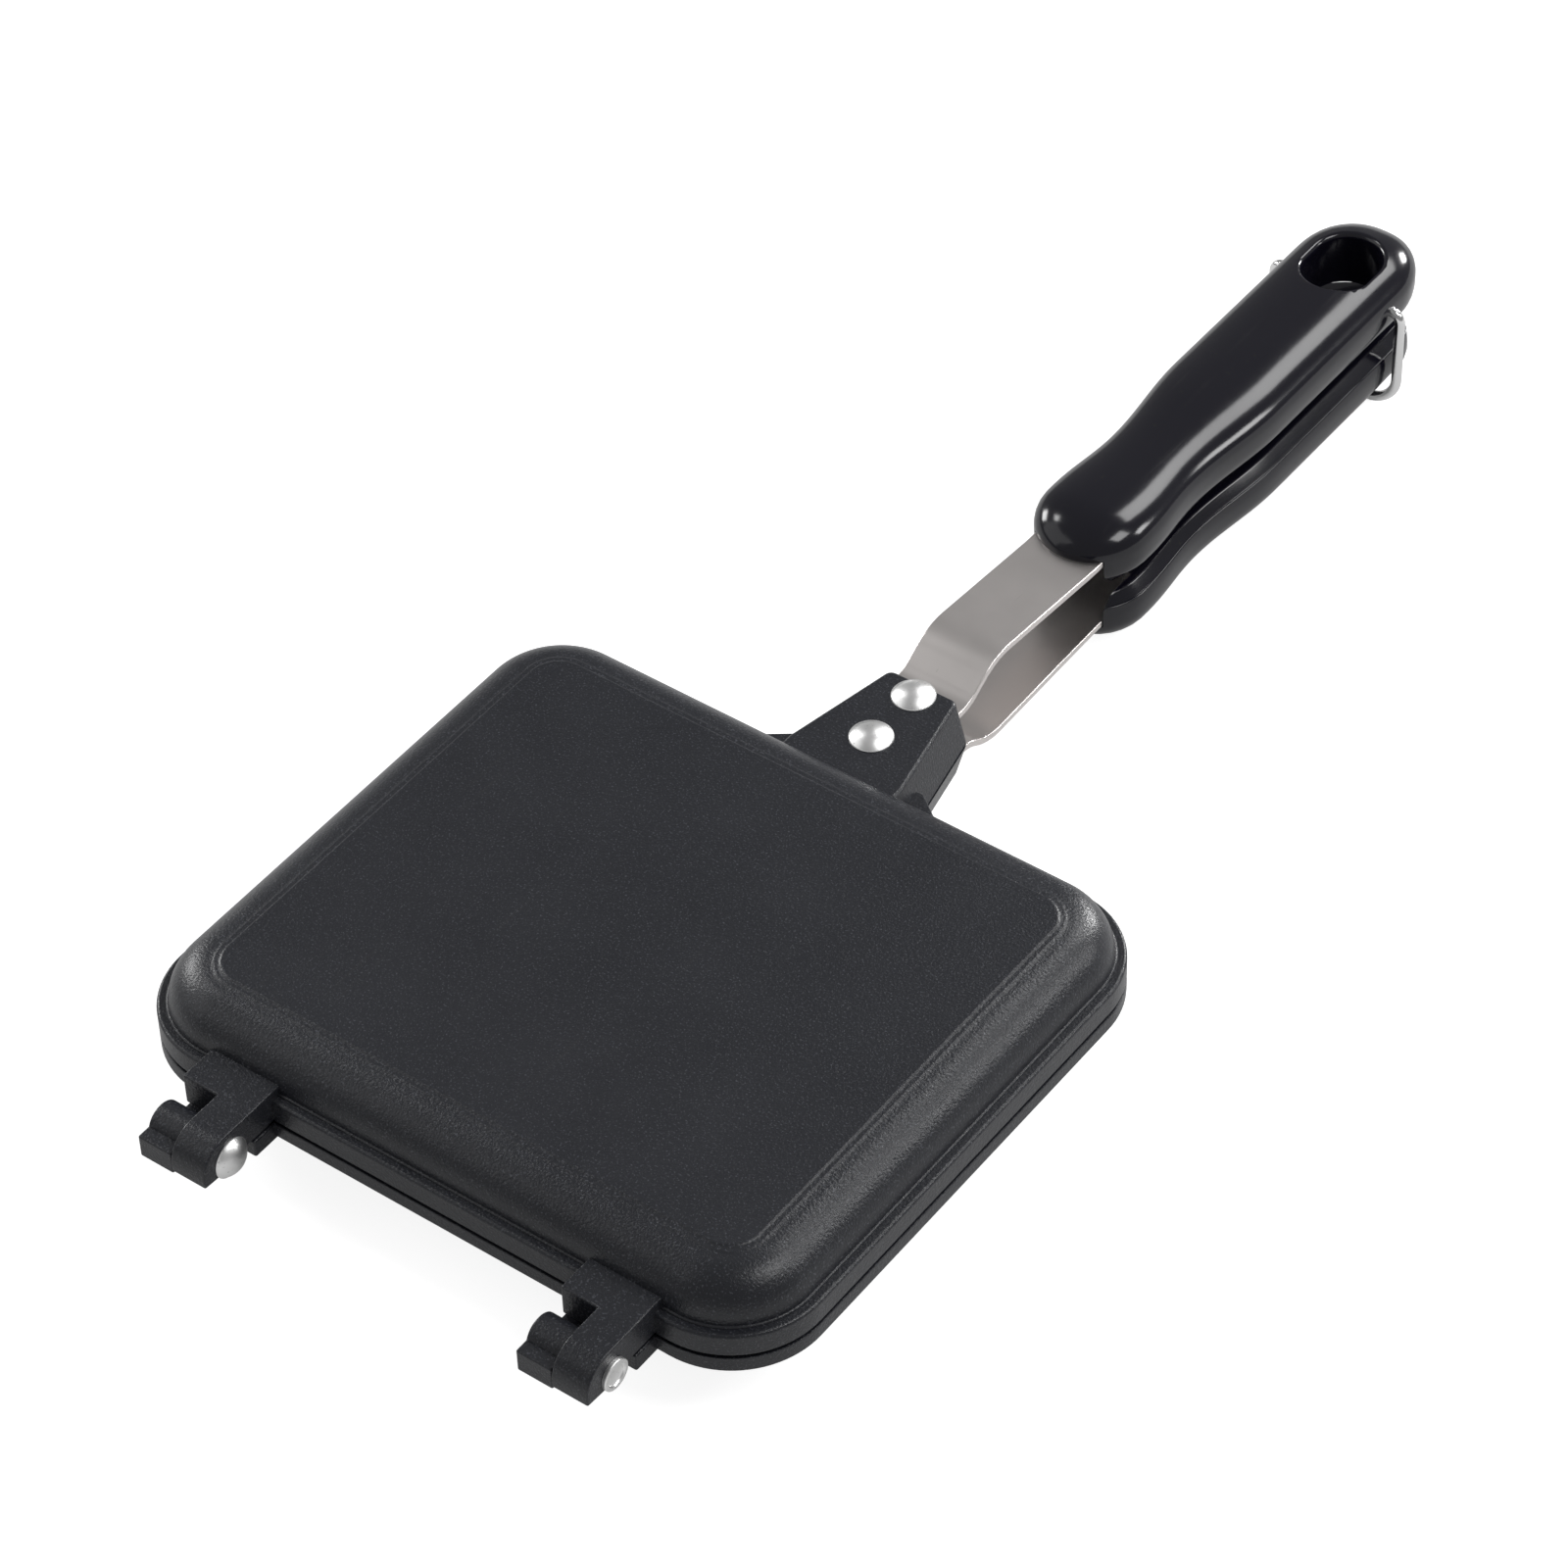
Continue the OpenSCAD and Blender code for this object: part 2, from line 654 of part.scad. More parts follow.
module upper_handle() {
  hang_y = front_y + upper_handle_l - hang_in;
  shift = hang_l / 2 - hang_r;
  color("#1d1d1f") placed() difference() {
    handle_body(upper_handle_l, upper_tail_l, upper_tail_rise);
    handle_cuts();
    for (s = [-1, 1]) translate([0, hang_y + s * shift, 0]) cylinder(r = hang_r, h = cut_h);
    translate([-hang_r, hang_y - shift, 0]) cube([2 * hang_r, 2 * shift, cut_h]);
    for (s = [0, 180]) translate([0, pivot_y, pivot_z]) rotate([0, 90, s]) {
      translate([0, 0, stub_x - slot_fit]) cylinder(r = wire_r + run_fit, h = cut_h);
    }
  }
}

module lower_handle() {
  color("#1d1d1f") placed_lower() difference() {
    handle_body(lower_handle_l, lower_tail_l, lower_tail_rise);
    handle_cuts();
  }
}

// ---- Latch, drawn about its pivot in the XZ plane ----

module wire(len) {
  cylinder(r = wire_r, h = len);
}

module latch_bail() {
  drop = pivot_z - crossbar_z;
  bar = leg_x - latch_corner_r;
  color("#d4d4d2") placed() translate([0, pivot_y, pivot_z]) for (s = [0, 1]) mirror([s, 0, 0]) {
    translate([stub_x, 0, 0]) rotate([0, 90, 0]) wire(leg_x - stub_bend_r - stub_x);
    translate([leg_x - stub_bend_r, 0, -stub_bend_r]) rotate([90, 0, 0]) {
      rotate_extrude(angle = 90) translate([stub_bend_r, 0]) circle(wire_r);
    }
    translate([leg_x, 0, -drop + latch_corner_r]) wire(drop - latch_corner_r - stub_bend_r);
    translate([bar, 0, -drop + latch_corner_r]) rotate([90, 0, 0]) {
      rotate(-90) rotate_extrude(angle = 90) translate([latch_corner_r, 0]) circle(wire_r);
    }
    translate([0, 0, -drop]) rotate([0, 90, 0]) wire(bar);
  }
}

upper_pan();
lower_pan();
upper_strap();
lower_strap();
upper_rivet_inner();
upper_rivet_outer();
lower_rivet_inner();
lower_rivet_outer();
hinge_pin_left();
hinge_pin_right();
upper_handle();
lower_handle();
upper_screw_front();
upper_screw_rear();
lower_screw_front();
lower_screw_rear();
latch_bail();
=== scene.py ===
import math
import bmesh
import bpy
from mathutils import Matrix, Vector
from mathutils.geometry import intersect_point_line


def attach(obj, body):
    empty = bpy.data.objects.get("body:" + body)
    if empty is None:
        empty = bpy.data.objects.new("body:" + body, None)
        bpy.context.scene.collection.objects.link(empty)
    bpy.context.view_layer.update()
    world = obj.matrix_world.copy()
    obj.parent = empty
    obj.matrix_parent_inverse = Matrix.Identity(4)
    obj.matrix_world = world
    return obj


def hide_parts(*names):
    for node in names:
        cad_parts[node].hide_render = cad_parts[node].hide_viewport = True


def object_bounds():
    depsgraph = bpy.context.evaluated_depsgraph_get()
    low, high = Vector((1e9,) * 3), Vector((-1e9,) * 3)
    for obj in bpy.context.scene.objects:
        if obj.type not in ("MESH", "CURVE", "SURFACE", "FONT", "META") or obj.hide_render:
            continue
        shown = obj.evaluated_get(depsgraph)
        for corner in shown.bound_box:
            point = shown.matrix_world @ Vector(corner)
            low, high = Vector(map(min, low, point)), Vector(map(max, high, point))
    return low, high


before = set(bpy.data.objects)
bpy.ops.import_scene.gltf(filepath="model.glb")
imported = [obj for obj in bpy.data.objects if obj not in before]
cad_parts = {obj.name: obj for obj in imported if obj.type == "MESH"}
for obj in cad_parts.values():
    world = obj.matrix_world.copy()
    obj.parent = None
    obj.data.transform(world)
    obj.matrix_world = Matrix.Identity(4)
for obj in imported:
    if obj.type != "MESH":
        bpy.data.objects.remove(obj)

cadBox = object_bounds()
mm = 0.001
print("frame loaded")


# camera at the photograph's viewing angle

cameraView = {
    "place": (459.1, -545.6, 762.0),  # millimetres, in the object's own frame
    "turn": 37.896,  # degrees round Z, 0 looks along +Y
    "tilt": 44.26,  # degrees down
    "roll": -2.068,
    "lens": 128.94,
    "sensor": 36,
    "clip": (0.05, 20),
}


def viewAxes(turn, tilt, roll):
    a, e, r = (math.radians(v) for v in (turn, tilt, roll))
    ahead = Vector((-math.sin(a) * math.cos(e), math.cos(a) * math.cos(e), -math.sin(e)))
    right = Vector((math.cos(a), math.sin(a), 0))
    up = right.cross(ahead)
    return math.cos(r) * right + math.sin(r) * up, math.cos(r) * up - math.sin(r) * right, ahead


def makeCamera(v):
    data = bpy.data.cameras.new("photoCamera")
    data.lens = v["lens"]
    data.sensor_width = v["sensor"]
    data.clip_start, data.clip_end = v["clip"]
    obj = bpy.data.objects.new("photoCamera", data)
    bpy.context.scene.collection.objects.link(obj)
    right, up, ahead = viewAxes(v["turn"], v["tilt"], v["roll"])
    turned = Matrix((right, up, -ahead)).transposed().to_4x4()
    obj.matrix_world = Matrix.Translation(Vector(v["place"]) * mm) @ turned
    bpy.context.scene.camera = obj


makeCamera(cameraView)
bpy.context.scene.view_settings.view_transform = "Standard"
print("camera placed")


# node helpers

def newTree(name, kind="material"):
    block = bpy.data.materials.new(name) if kind == "material" else bpy.data.worlds.new(name)
    block.use_nodes = True
    block.node_tree.nodes.clear()
    return block, block.node_tree


def addNode(tree, kind, values=None, **settings):
    n = tree.nodes.new(kind)
    for key, value in settings.items():
        setattr(n, key, value)
    for key, value in (values or {}).items():
        n.inputs[key].default_value = value
    return n


def join(tree, source, target):
    tree.links.new(source, target)


# stage: floor, world and lamps

studio = {
    "floorSize": 12.0,
    "floorColour": (0.58, 0.58, 0.58, 1),
    "floorGlow": 0.86,  # what the camera sees of the floor besides its lit colour
    "mirrorGlow": 0.14,  # the same for reflections
    "skyFill": 0.26,
    "aim": (0.0, 0.08, 0.02),
    "distance": 1.2,
    "lamps": {  # direction from the pan, width, height and power
        "crownLamp": ((0.08, 0.70, 0.71), 0.38, 0.44, 3.4),
        "backLamp": ((0.10, 0.95, 0.28), 0.20, 0.20, 5.6),
        "leftLamp": ((-0.94, 0.05, 0.33), 0.30, 0.30, 4.0),
        "rightLamp": ((0.57, 0.13, 0.82), 0.50, 0.42, 4.4),
        "sideLamp": ((0.69, 0.57, 0.44), 0.26, 0.26, 2.3),
        "spotLamp": ((-0.67, 0.02, 0.74), 0.16, 0.16, 0.9),
        "frontLamp": ((-0.70, -0.48, 0.52), 0.90, 0.90, 1.8),
    },
}


def makeFloor(v, level):
    bm = bmesh.new()
    bmesh.ops.create_grid(bm, x_segments=1, y_segments=1, size=v["floorSize"] / 2)
    mesh = bpy.data.meshes.new("floor")
    bm.to_mesh(mesh)
    bm.free()
    mesh.transform(Matrix.Translation((0, 0, level)))
    obj = bpy.data.objects.new("floor", mesh)
    bpy.context.scene.collection.objects.link(obj)
    mat, tree = newTree("paleFloor")
    out = addNode(tree, "ShaderNodeOutputMaterial")
    lit = addNode(tree, "ShaderNodeBsdfDiffuse", {"Color": v["floorColour"]})
    glow = addNode(tree, "ShaderNodeEmission", {"Color": (1, 1, 1, 1)})
    path = addNode(tree, "ShaderNodeLightPath")
    mirrored = addNode(tree, "ShaderNodeMath", {1: v["mirrorGlow"]}, operation="MULTIPLY")
    join(tree, path.outputs["Is Glossy Ray"], mirrored.inputs[0])
    gain = addNode(tree, "ShaderNodeMath", {1: v["floorGlow"]}, operation="MULTIPLY_ADD")
    join(tree, path.outputs["Is Camera Ray"], gain.inputs[0])
    join(tree, mirrored.outputs[0], gain.inputs[2])
    join(tree, gain.outputs[0], glow.inputs["Strength"])
    both = addNode(tree, "ShaderNodeAddShader")
    join(tree, lit.outputs[0], both.inputs[0])
    join(tree, glow.outputs[0], both.inputs[1])
    join(tree, both.outputs[0], out.inputs["Surface"])
    mesh.materials.append(mat)


def makeWorld(v):
    world, tree = newTree("softSky", "world")
    out = addNode(tree, "ShaderNodeOutputWorld")
    bright = addNode(tree, "ShaderNodeBackground", {"Color": (1, 1, 1, 1), "Strength": 1.0})
    fill = addNode(tree, "ShaderNodeBackground", {"Color": (1, 1, 1, 1), "Strength": v["skyFill"]})
    path = addNode(tree, "ShaderNodeLightPath")
    seen = addNode(tree, "ShaderNodeMath", operation="MAXIMUM")
    join(tree, path.outputs["Is Camera Ray"], seen.inputs[0])
    join(tree, path.outputs["Is Transmission Ray"], seen.inputs[1])
    mix = addNode(tree, "ShaderNodeMixShader")
    join(tree, seen.outputs[0], mix.inputs["Fac"])
    join(tree, fill.outputs[0], mix.inputs[1])
    join(tree, bright.outputs[0], mix.inputs[2])
    join(tree, mix.outputs[0], out.inputs["Surface"])
    bpy.context.scene.world = world


def makeLamp(name, direction, width, height, power):
    aim = Vector(studio["aim"])
    place = aim + Vector(direction).normalized() * studio["distance"]
    data = bpy.data.lights.new(name, "AREA")
    data.shape = "RECTANGLE"
    data.size = width
    data.size_y = height
    data.energy = power
    obj = bpy.data.objects.new(name, data)
    bpy.context.scene.collection.objects.link(obj)
    ahead = (aim - place).normalized()
    obj.matrix_world = Matrix.Translation(place) @ ahead.to_track_quat("-Z", "Y").to_matrix().to_4x4()


makeFloor(studio, cadBox[0][2])
makeWorld(studio)
for lampName, lamp in studio["lamps"].items():
    makeLamp(lampName, *lamp)
print("stage ready")


# modelling helpers, in millimetres until a piece is finished

def onlyKind(geom, kind):
    return [g for g in geom if isinstance(g, kind)]


def drawSection(bm, start, moves, stepAngle, closed=True):
    # moves in the XZ plane: (x, z) goes straight there, ((x, z), turn) swings round that centre
    first = last = bm.verts.new((start[0], 0, start[1]))
    for place, turn in moves:
        if isinstance(place, tuple):
            steps = max(2, round(abs(turn) / stepAngle))
            spun = bmesh.ops.spin(bm, geom=[last], cent=(place[0], 0, place[1]), axis=(0, -1, 0),
                                  angle=math.radians(turn), steps=steps)
            last = onlyKind(spun["geom_last"], bmesh.types.BMVert)[0]
        else:
            last = bmesh.ops.extrude_vert_indiv(bm, verts=[last])["verts"][0]
            last.co = (place, 0, turn)
    if closed:
        bm.edges.new((last, first))


def extrudeRing(bm, ring, step):
    new = bmesh.ops.extrude_edge_only(bm, edges=ring)["geom"]
    verts = onlyKind(new, bmesh.types.BMVert)
    bmesh.ops.translate(bm, verts=verts, vec=step)
    kept = set(verts)
    return [e for e in onlyKind(new, bmesh.types.BMEdge) if set(e.verts) <= kept]


def spinRing(bm, ring, centre, axis, degrees, steps):
    spun = bmesh.ops.spin(bm, geom=ring, cent=centre, axis=axis, angle=math.radians(degrees), steps=steps)
    return onlyKind(spun["geom_last"], bmesh.types.BMEdge)


def loft(bm, segments, count, pointAt):
    # a skin over rings of points, open at both ends; pointAt gives the place of one point of one ring
    around = bm.verts.layers.int.new("around")
    bmesh.ops.create_circle(bm, segments=segments, radius=1)
    for index, vert in enumerate(bm.verts):
        vert[around] = index
    ring = bm.edges[:]
    for step in range(count):
        if step:
            ring = extrudeRing(bm, ring, (0, 0, 0))
        for vert in {w for e in ring for w in e.verts}:
            vert.co = pointAt(step, vert[around])
    return ring


def closeUp(bm):
    bmesh.ops.remove_doubles(bm, verts=bm.verts, dist=0.001)
    bmesh.ops.holes_fill(bm, edges=[e for e in bm.edges if e.is_boundary], sides=0)
    bmesh.ops.recalc_face_normals(bm, faces=bm.faces)


def bevelEdges(bm, edges, width, segments=3):
    bmesh.ops.bevel(bm, geom=edges, offset=width, affect="EDGES", segments=segments, profile=0.5,
                    material=-1, clamp_overlap=True)


def thicken(bm, step):
    new = bmesh.ops.extrude_face_region(bm, geom=bm.faces[:])["geom"]
    bmesh.ops.translate(bm, verts=onlyKind(new, bmesh.types.BMVert), vec=step)
    bmesh.ops.recalc_face_normals(bm, faces=bm.faces)


def prism(outline, low, high):
    # a flat outline given a thickness along Z
    bm = bmesh.new()
    verts = [bm.verts.new((x, y, low)) for x, y in outline]
    for one, two in zip(verts, verts[1:] + verts[:1]):
        bm.edges.new((one, two))
    bmesh.ops.contextual_create(bm, geom=bm.edges[:])
    thicken(bm, (0, 0, high - low))
    return bm


def sectionPrism(start, moves, low, high):
    # an outline drawn with straight and swinging moves, in the YZ plane, given a thickness along X
    bm = bmesh.new()
    drawSection(bm, start, moves, stepAngle=10.0)
    bmesh.ops.contextual_create(bm, geom=bm.edges[:])
    bmesh.ops.rotate(bm, verts=bm.verts, cent=(0, 0, 0), matrix=Matrix.Rotation(math.radians(90), 3, "Z"))
    bmesh.ops.translate(bm, verts=bm.verts, vec=(low, 0, 0))
    thicken(bm, (high - low, 0, 0))
    return bm


def block(low, high, edgeWidth=0.0):
    bm = bmesh.new()
    bmesh.ops.create_cube(bm, size=1)
    size = Vector(high) - Vector(low)
    bmesh.ops.scale(bm, verts=bm.verts, vec=size)
    bmesh.ops.translate(bm, verts=bm.verts, vec=(Vector(low) + Vector(high)) / 2)
    if edgeWidth:
        bevelEdges(bm, bm.edges[:], edgeWidth)
    return bm


def sharpEdges(bm, degrees):
    return [e for e in bm.edges if len(e.link_faces) == 2 and e.calc_face_angle() > math.radians(degrees)]


def meshObject(name, bm):
    mesh = bpy.data.meshes.new(name)
    bm.to_mesh(mesh)
    bm.free()
    obj = bpy.data.objects.new(name, mesh)
    bpy.context.scene.collection.objects.link(obj)
    return obj


def combine(target, others, operation):
    # adds or cuts each of the other solids, then bakes the result into the target's mesh
    for bm in others:
        tool = meshObject("tool", bm)
        solid = target.modifiers.new("solid", "BOOLEAN")
        solid.operation = operation
        solid.solver = "EXACT"
        solid.object = tool
        joined = target.evaluated_get(bpy.context.evaluated_depsgraph_get())
        target.data = bpy.data.meshes.new_from_object(joined)
        target.modifiers.clear()
        bpy.data.objects.remove(tool)


def sealSlits(obj, near=0.001):
    # joins both sides of the zero-width slits that combined solids can leave, without moving a point
    bm = bmesh.new()
    bm.from_mesh(obj.data)
    places = [w.co.copy() for w in {w for e in bm.edges if e.is_boundary for w in e.verts}]
    for place in places:
        for edge in [e for e in bm.edges if e.is_boundary]:
            a, b = (w.co for w in edge.verts)
            nearest, share = intersect_point_line(place, a, b)
            ends = min((place - a).length, (place - b).length)
            if 0 < share < 1 and (nearest - place).length < near < ends:
                bmesh.utils.edge_split(edge, edge.verts[0], share)
                break
    bmesh.ops.remove_doubles(bm, verts=[w for w in bm.verts if w.is_boundary], dist=near)
    bmesh.ops.holes_fill(bm, edges=[e for e in bm.edges if e.is_boundary], sides=0)
    bm.to_mesh(obj.data)
    bm.free()


def mirrorDown(obj):
    # pieces are modelled as the upper ones, above the mating plane; the lower ones are their mirror images
    obj.data.transform(Matrix.Scale(-1, 4, (0, 0, 1)))
    obj.data.flip_normals()


def finishPiece(obj, material, body, nodes, smoothAngle=35):
    # to metres, with its finish, its shading and its place among the bodies
    obj.data.transform(Matrix.Scale(mm, 4))
    obj.data.materials.clear()
    obj.data.materials.append(material)
    obj.data.shade_smooth()
    obj.data.set_sharp_from_angle(angle=math.radians(smoothAngle))
    even = obj.modifiers.new("evenShading", "WEIGHTED_NORMAL")
    even.keep_sharp = True
    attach(obj, body)
    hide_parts(*nodes)


def finishHalf(obj, kind, material, node):
    # a piece of the upper or lower half, raised from the mating plane to its place
    obj.data.transform(Matrix.Translation((0, 0, pan["mating"])))
    finishPiece(obj, material, "lid" if kind == "upper" else "base", [node])


# pan halves

pan = {
    "halfWidth": 73.0,
    "halfLength": 63.5,
    "depth": 15.0,
    "cornerRadius": 19.0,
    "cornerSteps": 22,
    "ledge": 2.2,
    "wall": 3.0,
    "bead": 0.45,
    "beadFoot": 0.02,
    "plateauStep": 1.4,
    "stepLines": ((-0.35, 0), (-0.1, 0.03), (0.1, 0.16), (0.3, 0.26), (0.95, 0.26), (1.15, 0.28),
                  (1.4, 0.39)),  # out from the step and down from the flat face
    "shoulderDrop": 0.5,
    "shoulderTop": 87.5,  # degrees up the shoulder's round where it meets the step lines
    "rimRound": 0.7,
    "seam": 0.4,
    "seamDepth": 2.0,
    "seamEdge": ((0, 0.25), (0.08, 0.07), (0.25, 0)),
    "cavityEdge": ((0.5, 0), (0.15, 0.15), (0, 0.5)),
    "mating": 15.0,  # level of the mating plane
    "shave": 0.01,  # keeps the hinge parts' faces out of the tabs' planes
    "halves": {
        "upper": {"rim": 5.4, "shoulder": 9.0, "tab": 7.5},
        "lower": {"rim": 4.0, "shoulder": 13.0, "tab": 4.4},
    },
}

lug = {
    "root": 15.6, "tip": 10.4, "length": 25.5, "height": 9.2, "draft": 15.5, "into": 4.0,
    "edge": 0.65, "tipRound": 1.3,
    "webWidth": 5.4, "webLength": 4.6, "webStep": 0.4, "webInto": 1.5, "webEdge": 0.3,
    "pocket": ((-8.2, 1.5, -1), (8.2, 40, 5.8)),  # two corners, y from the rim on
}

hinge = {
    "across": 43.2, "halfWidth": 8.05, "knuckle": 7.8, "gap": 0.4, "edge": 0.35,
    "tabReach": 5.6, "tabInto": 1.6, "tabEdge": 0.45,
    "pin": (-75.4, 16.5),  # y and z of the pin's axis
    # side views about that axis, towards the handles is positive
    "into": 8.3, "armBend": -0.9, "armRound": 6.3, "armTurn": 87.0,
    "armFoot": ((-7.2, -0.6), (-7.2, -1.75), ((-6.75, -1.75), 90), (-1.5, -2.6), (2.2, -2.6),
                ((2.2, -1.1), 78), (4.4, -1.09), (8.3, -1.09)),
    "noseStart": (-6.6, 1.0),
    "knuckleSection": (((-6.2, 1.0), -90), (-3.747, 1.4), ((0, 0), -187.9), (8.3, -1.91), (8.3, -5.89),
                       (6.3, -5.89), (0.2, -3.8), (-6.2, -3.8), ((-6.2, -3.4), -90)),
}


def panSection(v):
    # from the flat face's edge over the shoulder, the bead and the rim, then back inside
    r = v["shoulder"]
    rim = v["rim"]
    top = pan["depth"]
    rimX = pan["cornerRadius"]
    wallX = rimX - pan["ledge"]
    inner = wallX - pan["wall"]
    cx = wallX - r
    cz = top - pan["shoulderDrop"] - r
    stepX = cx - pan["plateauStep"]
    upper = math.radians(pan["shoulderTop"])
    lower = math.degrees(math.asin((rim + pan["bead"] + pan["beadFoot"] - cz) / r))
    rimRound = pan["rimRound"]
    seam = pan["seam"]
    start, *lines = [(stepX + out, top - down) for out, down in pan["stepLines"]]
    moves = [
        *lines,
        (cx + r * math.cos(upper), cz + r * math.sin(upper)),
        ((cx, cz), lower - pan["shoulderTop"]),
        (wallX, rim + pan["bead"]), ((wallX, rim), -90),
        (rimX - rimRound, rim), ((rimX - rimRound, rim - rimRound), -90),
        *((rimX - back, seam + up) for back, up in pan["seamEdge"]),
        (rimX - pan["seamDepth"], seam), (rimX - pan["seamDepth"], 0),
        *((inner + out, up) for out, up in pan["cavityEdge"]),
        (inner, cz), ((cx, cz), 90),
    ]
    return start, moves


def buildShell(v):
    bm = bmesh.new()
    drawSection(bm, *panSection(v), stepAngle=5.0, closed=False)
    bmesh.ops.rotate(bm, verts=bm.verts, cent=(0, 0, 0), matrix=Matrix.Rotation(math.radians(-90), 3, "Z"))
    cx = pan["halfWidth"] - pan["cornerRadius"]
    cy = pan["halfLength"] - pan["cornerRadius"]
    bmesh.ops.translate(bm, verts=bm.verts, vec=(cx, -cy, 0))
    ring = bm.edges[:]
    corners = ((cx, -cy, 0), (cx, cy, 0), (-cx, cy, 0), (-cx, -cy, 0))
    sides = ((0, 2 * cy, 0), (-2 * cx, 0, 0), (0, -2 * cy, 0), (2 * cx, 0, 0))
    for corner, side in zip(corners, sides):
        ring = spinRing(bm, ring, corner, (0, 0, 1), 90, pan["cornerSteps"])
        ring = extrudeRing(bm, ring, side)
    closeUp(bm)
    return meshObject("shell", bm)


def buildLug():
    back = pan["halfLength"]
    x0, x1, y0, y1 = lug["root"], lug["tip"], back - lug["into"], back + lug["length"]
    outline = [(-x0, y0), (x0, y0), (x0, back), (x1, y1), (-x1, y1), (-x0, back)]
    bm = prism(outline, pan["seam"], lug["height"])
    draft = math.tan(math.radians(lug["draft"]))
    for vert in bm.verts:
        vert.co.x -= math.copysign(draft * vert.co.z, vert.co.x)
    close = 0.1  # tells one corner from the next
    uprights = [e for e in bm.edges if all(w.co.y > y1 - close for w in e.verts)
                and abs(e.verts[0].co.z - e.verts[1].co.z) > 1]
    bevelEdges(bm, uprights, lug["tipRound"], segments=4)
    topEdges = [e for e in sharpEdges(bm, degrees=25)
                if all(w.co.z > lug["height"] - close for w in e.verts)
                and any(w.co.y > y0 + close for w in e.verts)]
    bevelEdges(bm, topEdges, lug["edge"])
    return bm


def buildWeb(side, rim):
    back = pan["halfLength"]
    lean = (lug["root"] - lug["tip"]) / lug["length"]
    out = lug["root"] + lug["webWidth"]
    near = lug["root"] - lean * lug["webLength"]
    start, end = back - lug["webInto"], back + lug["webLength"]
    outline = [(lug["tip"], start), (out, start), (out, back), (near, end), (lug["tip"], end)]
    bm = prism([(side * x, y) for x, y in outline], pan["seam"], rim - lug["webStep"])
    bevelEdges(bm, sharpEdges(bm, degrees=30), lug["webEdge"], segments=2)
    return bm


def buildTab(side, top):
    front = -pan["halfLength"]
    middle = side * hinge["across"]
    low = (middle - hinge["halfWidth"], front - hinge["tabReach"], pan["seam"])
    high = (middle + hinge["halfWidth"], front + pan["ledge"] + hinge["tabInto"], top)
    return block(low, high, hinge["tabEdge"])


def hingePart(start, moves, low, high):
    bm = sectionPrism(start, moves, low, high)
    sides = [e for e in bm.edges
             if any(all(abs(w.co.x - at) < 0.001 for w in e.verts) for at in (low, high))]
    bevelEdges(bm, sides, hinge["edge"])
    bmesh.ops.translate(bm, verts=bm.verts, vec=(0, hinge["pin"][0], hinge["pin"][1] - pan["mating"]))
    return bm


def buildArm(side):
    v = hinge
    top = pan["halves"]["upper"]["tab"] - (v["pin"][1] - pan["mating"]) - pan["shave"]
    moves = [(v["armBend"], top), ((v["armBend"], top - v["armRound"]), v["armTurn"]), *v["armFoot"]]
    high = side * v["across"] + v["halfWidth"] - pan["shave"]
    low = high - (2 * v["halfWidth"] - v["knuckle"] - v["gap"])
    return hingePart((v["into"], top), moves, low, high)


def buildKnuckle(side):
    low = side * hinge["across"] - hinge["halfWidth"] + pan["shave"]
    return hingePart(hinge["noseStart"], hinge["knuckleSection"], low, low + hinge["knuckle"])


def buildPan(name, kind, material):
    v = pan["halves"][kind]
    body = buildShell(v)
    body.name = name
    webs = [buildWeb(s, v["rim"]) for s in (-1, 1)]
    tabs = [buildTab(s, v["tab"]) for s in (-1, 1)]
    combine(body, [buildLug()] + webs + tabs, "UNION")
    back = Vector((0, pan["halfLength"], 0))
    combine(body, [block(*(Vector(corner) + back for corner in lug["pocket"]))], "DIFFERENCE")
    if kind == "lower":
        mirrorDown(body)
    hingeShape = buildArm if kind == "upper" else buildKnuckle
    combine(body, [hingeShape(s) for s in (-1, 1)], "UNION")
    sealSlits(body)
    finishHalf(body, kind, material, kind + "_pan")
    print(name, "built:", len(body.data.polygons), "faces")


# straps and latch: a section run along its bends

strap = {
    "halfWidth": 8.0, "thickness": 1.5, "level": 5.0, "start": 65.2, "bendStart": 90.1,
    "rise": 32.0, "lowRadius": 9.0, "topRadius": 13.0, "entryRadius": 20.0,
    "entry": 136.1, "tangLevel": 7.85, "tangStart": 147.9, "tangStep": 0.6, "tangHalf": 6.0, "end": 221.2,
    "peaks": {"upper": 10.4, "lower": 9.0},
    "edge": 0.28,
}


def startPath(bm, ring, place, heading, axis):
    return {"bm": bm, "ring": ring, "place": Vector(place), "heading": Vector(heading),
            "axis": Vector(axis)}


def runOn(path, length):
    step = path["heading"] * length
    path["ring"] = extrudeRing(path["bm"], path["ring"], step)
    path["place"] += step


def turnBy(path, degrees, radius, stepAngle=4.0):
    side = path["axis"].cross(path["heading"]) * math.copysign(1, degrees)
    centre = path["place"] + side * radius
    steps = max(2, round(abs(degrees) / stepAngle))
    path["ring"] = spinRing(path["bm"], path["ring"], centre, path["axis"], degrees, steps)
    turn = Matrix.Rotation(math.radians(degrees), 3, path["axis"])
    path["place"] = centre + turn @ (path["place"] - centre)
    path["heading"] = turn @ path["heading"]


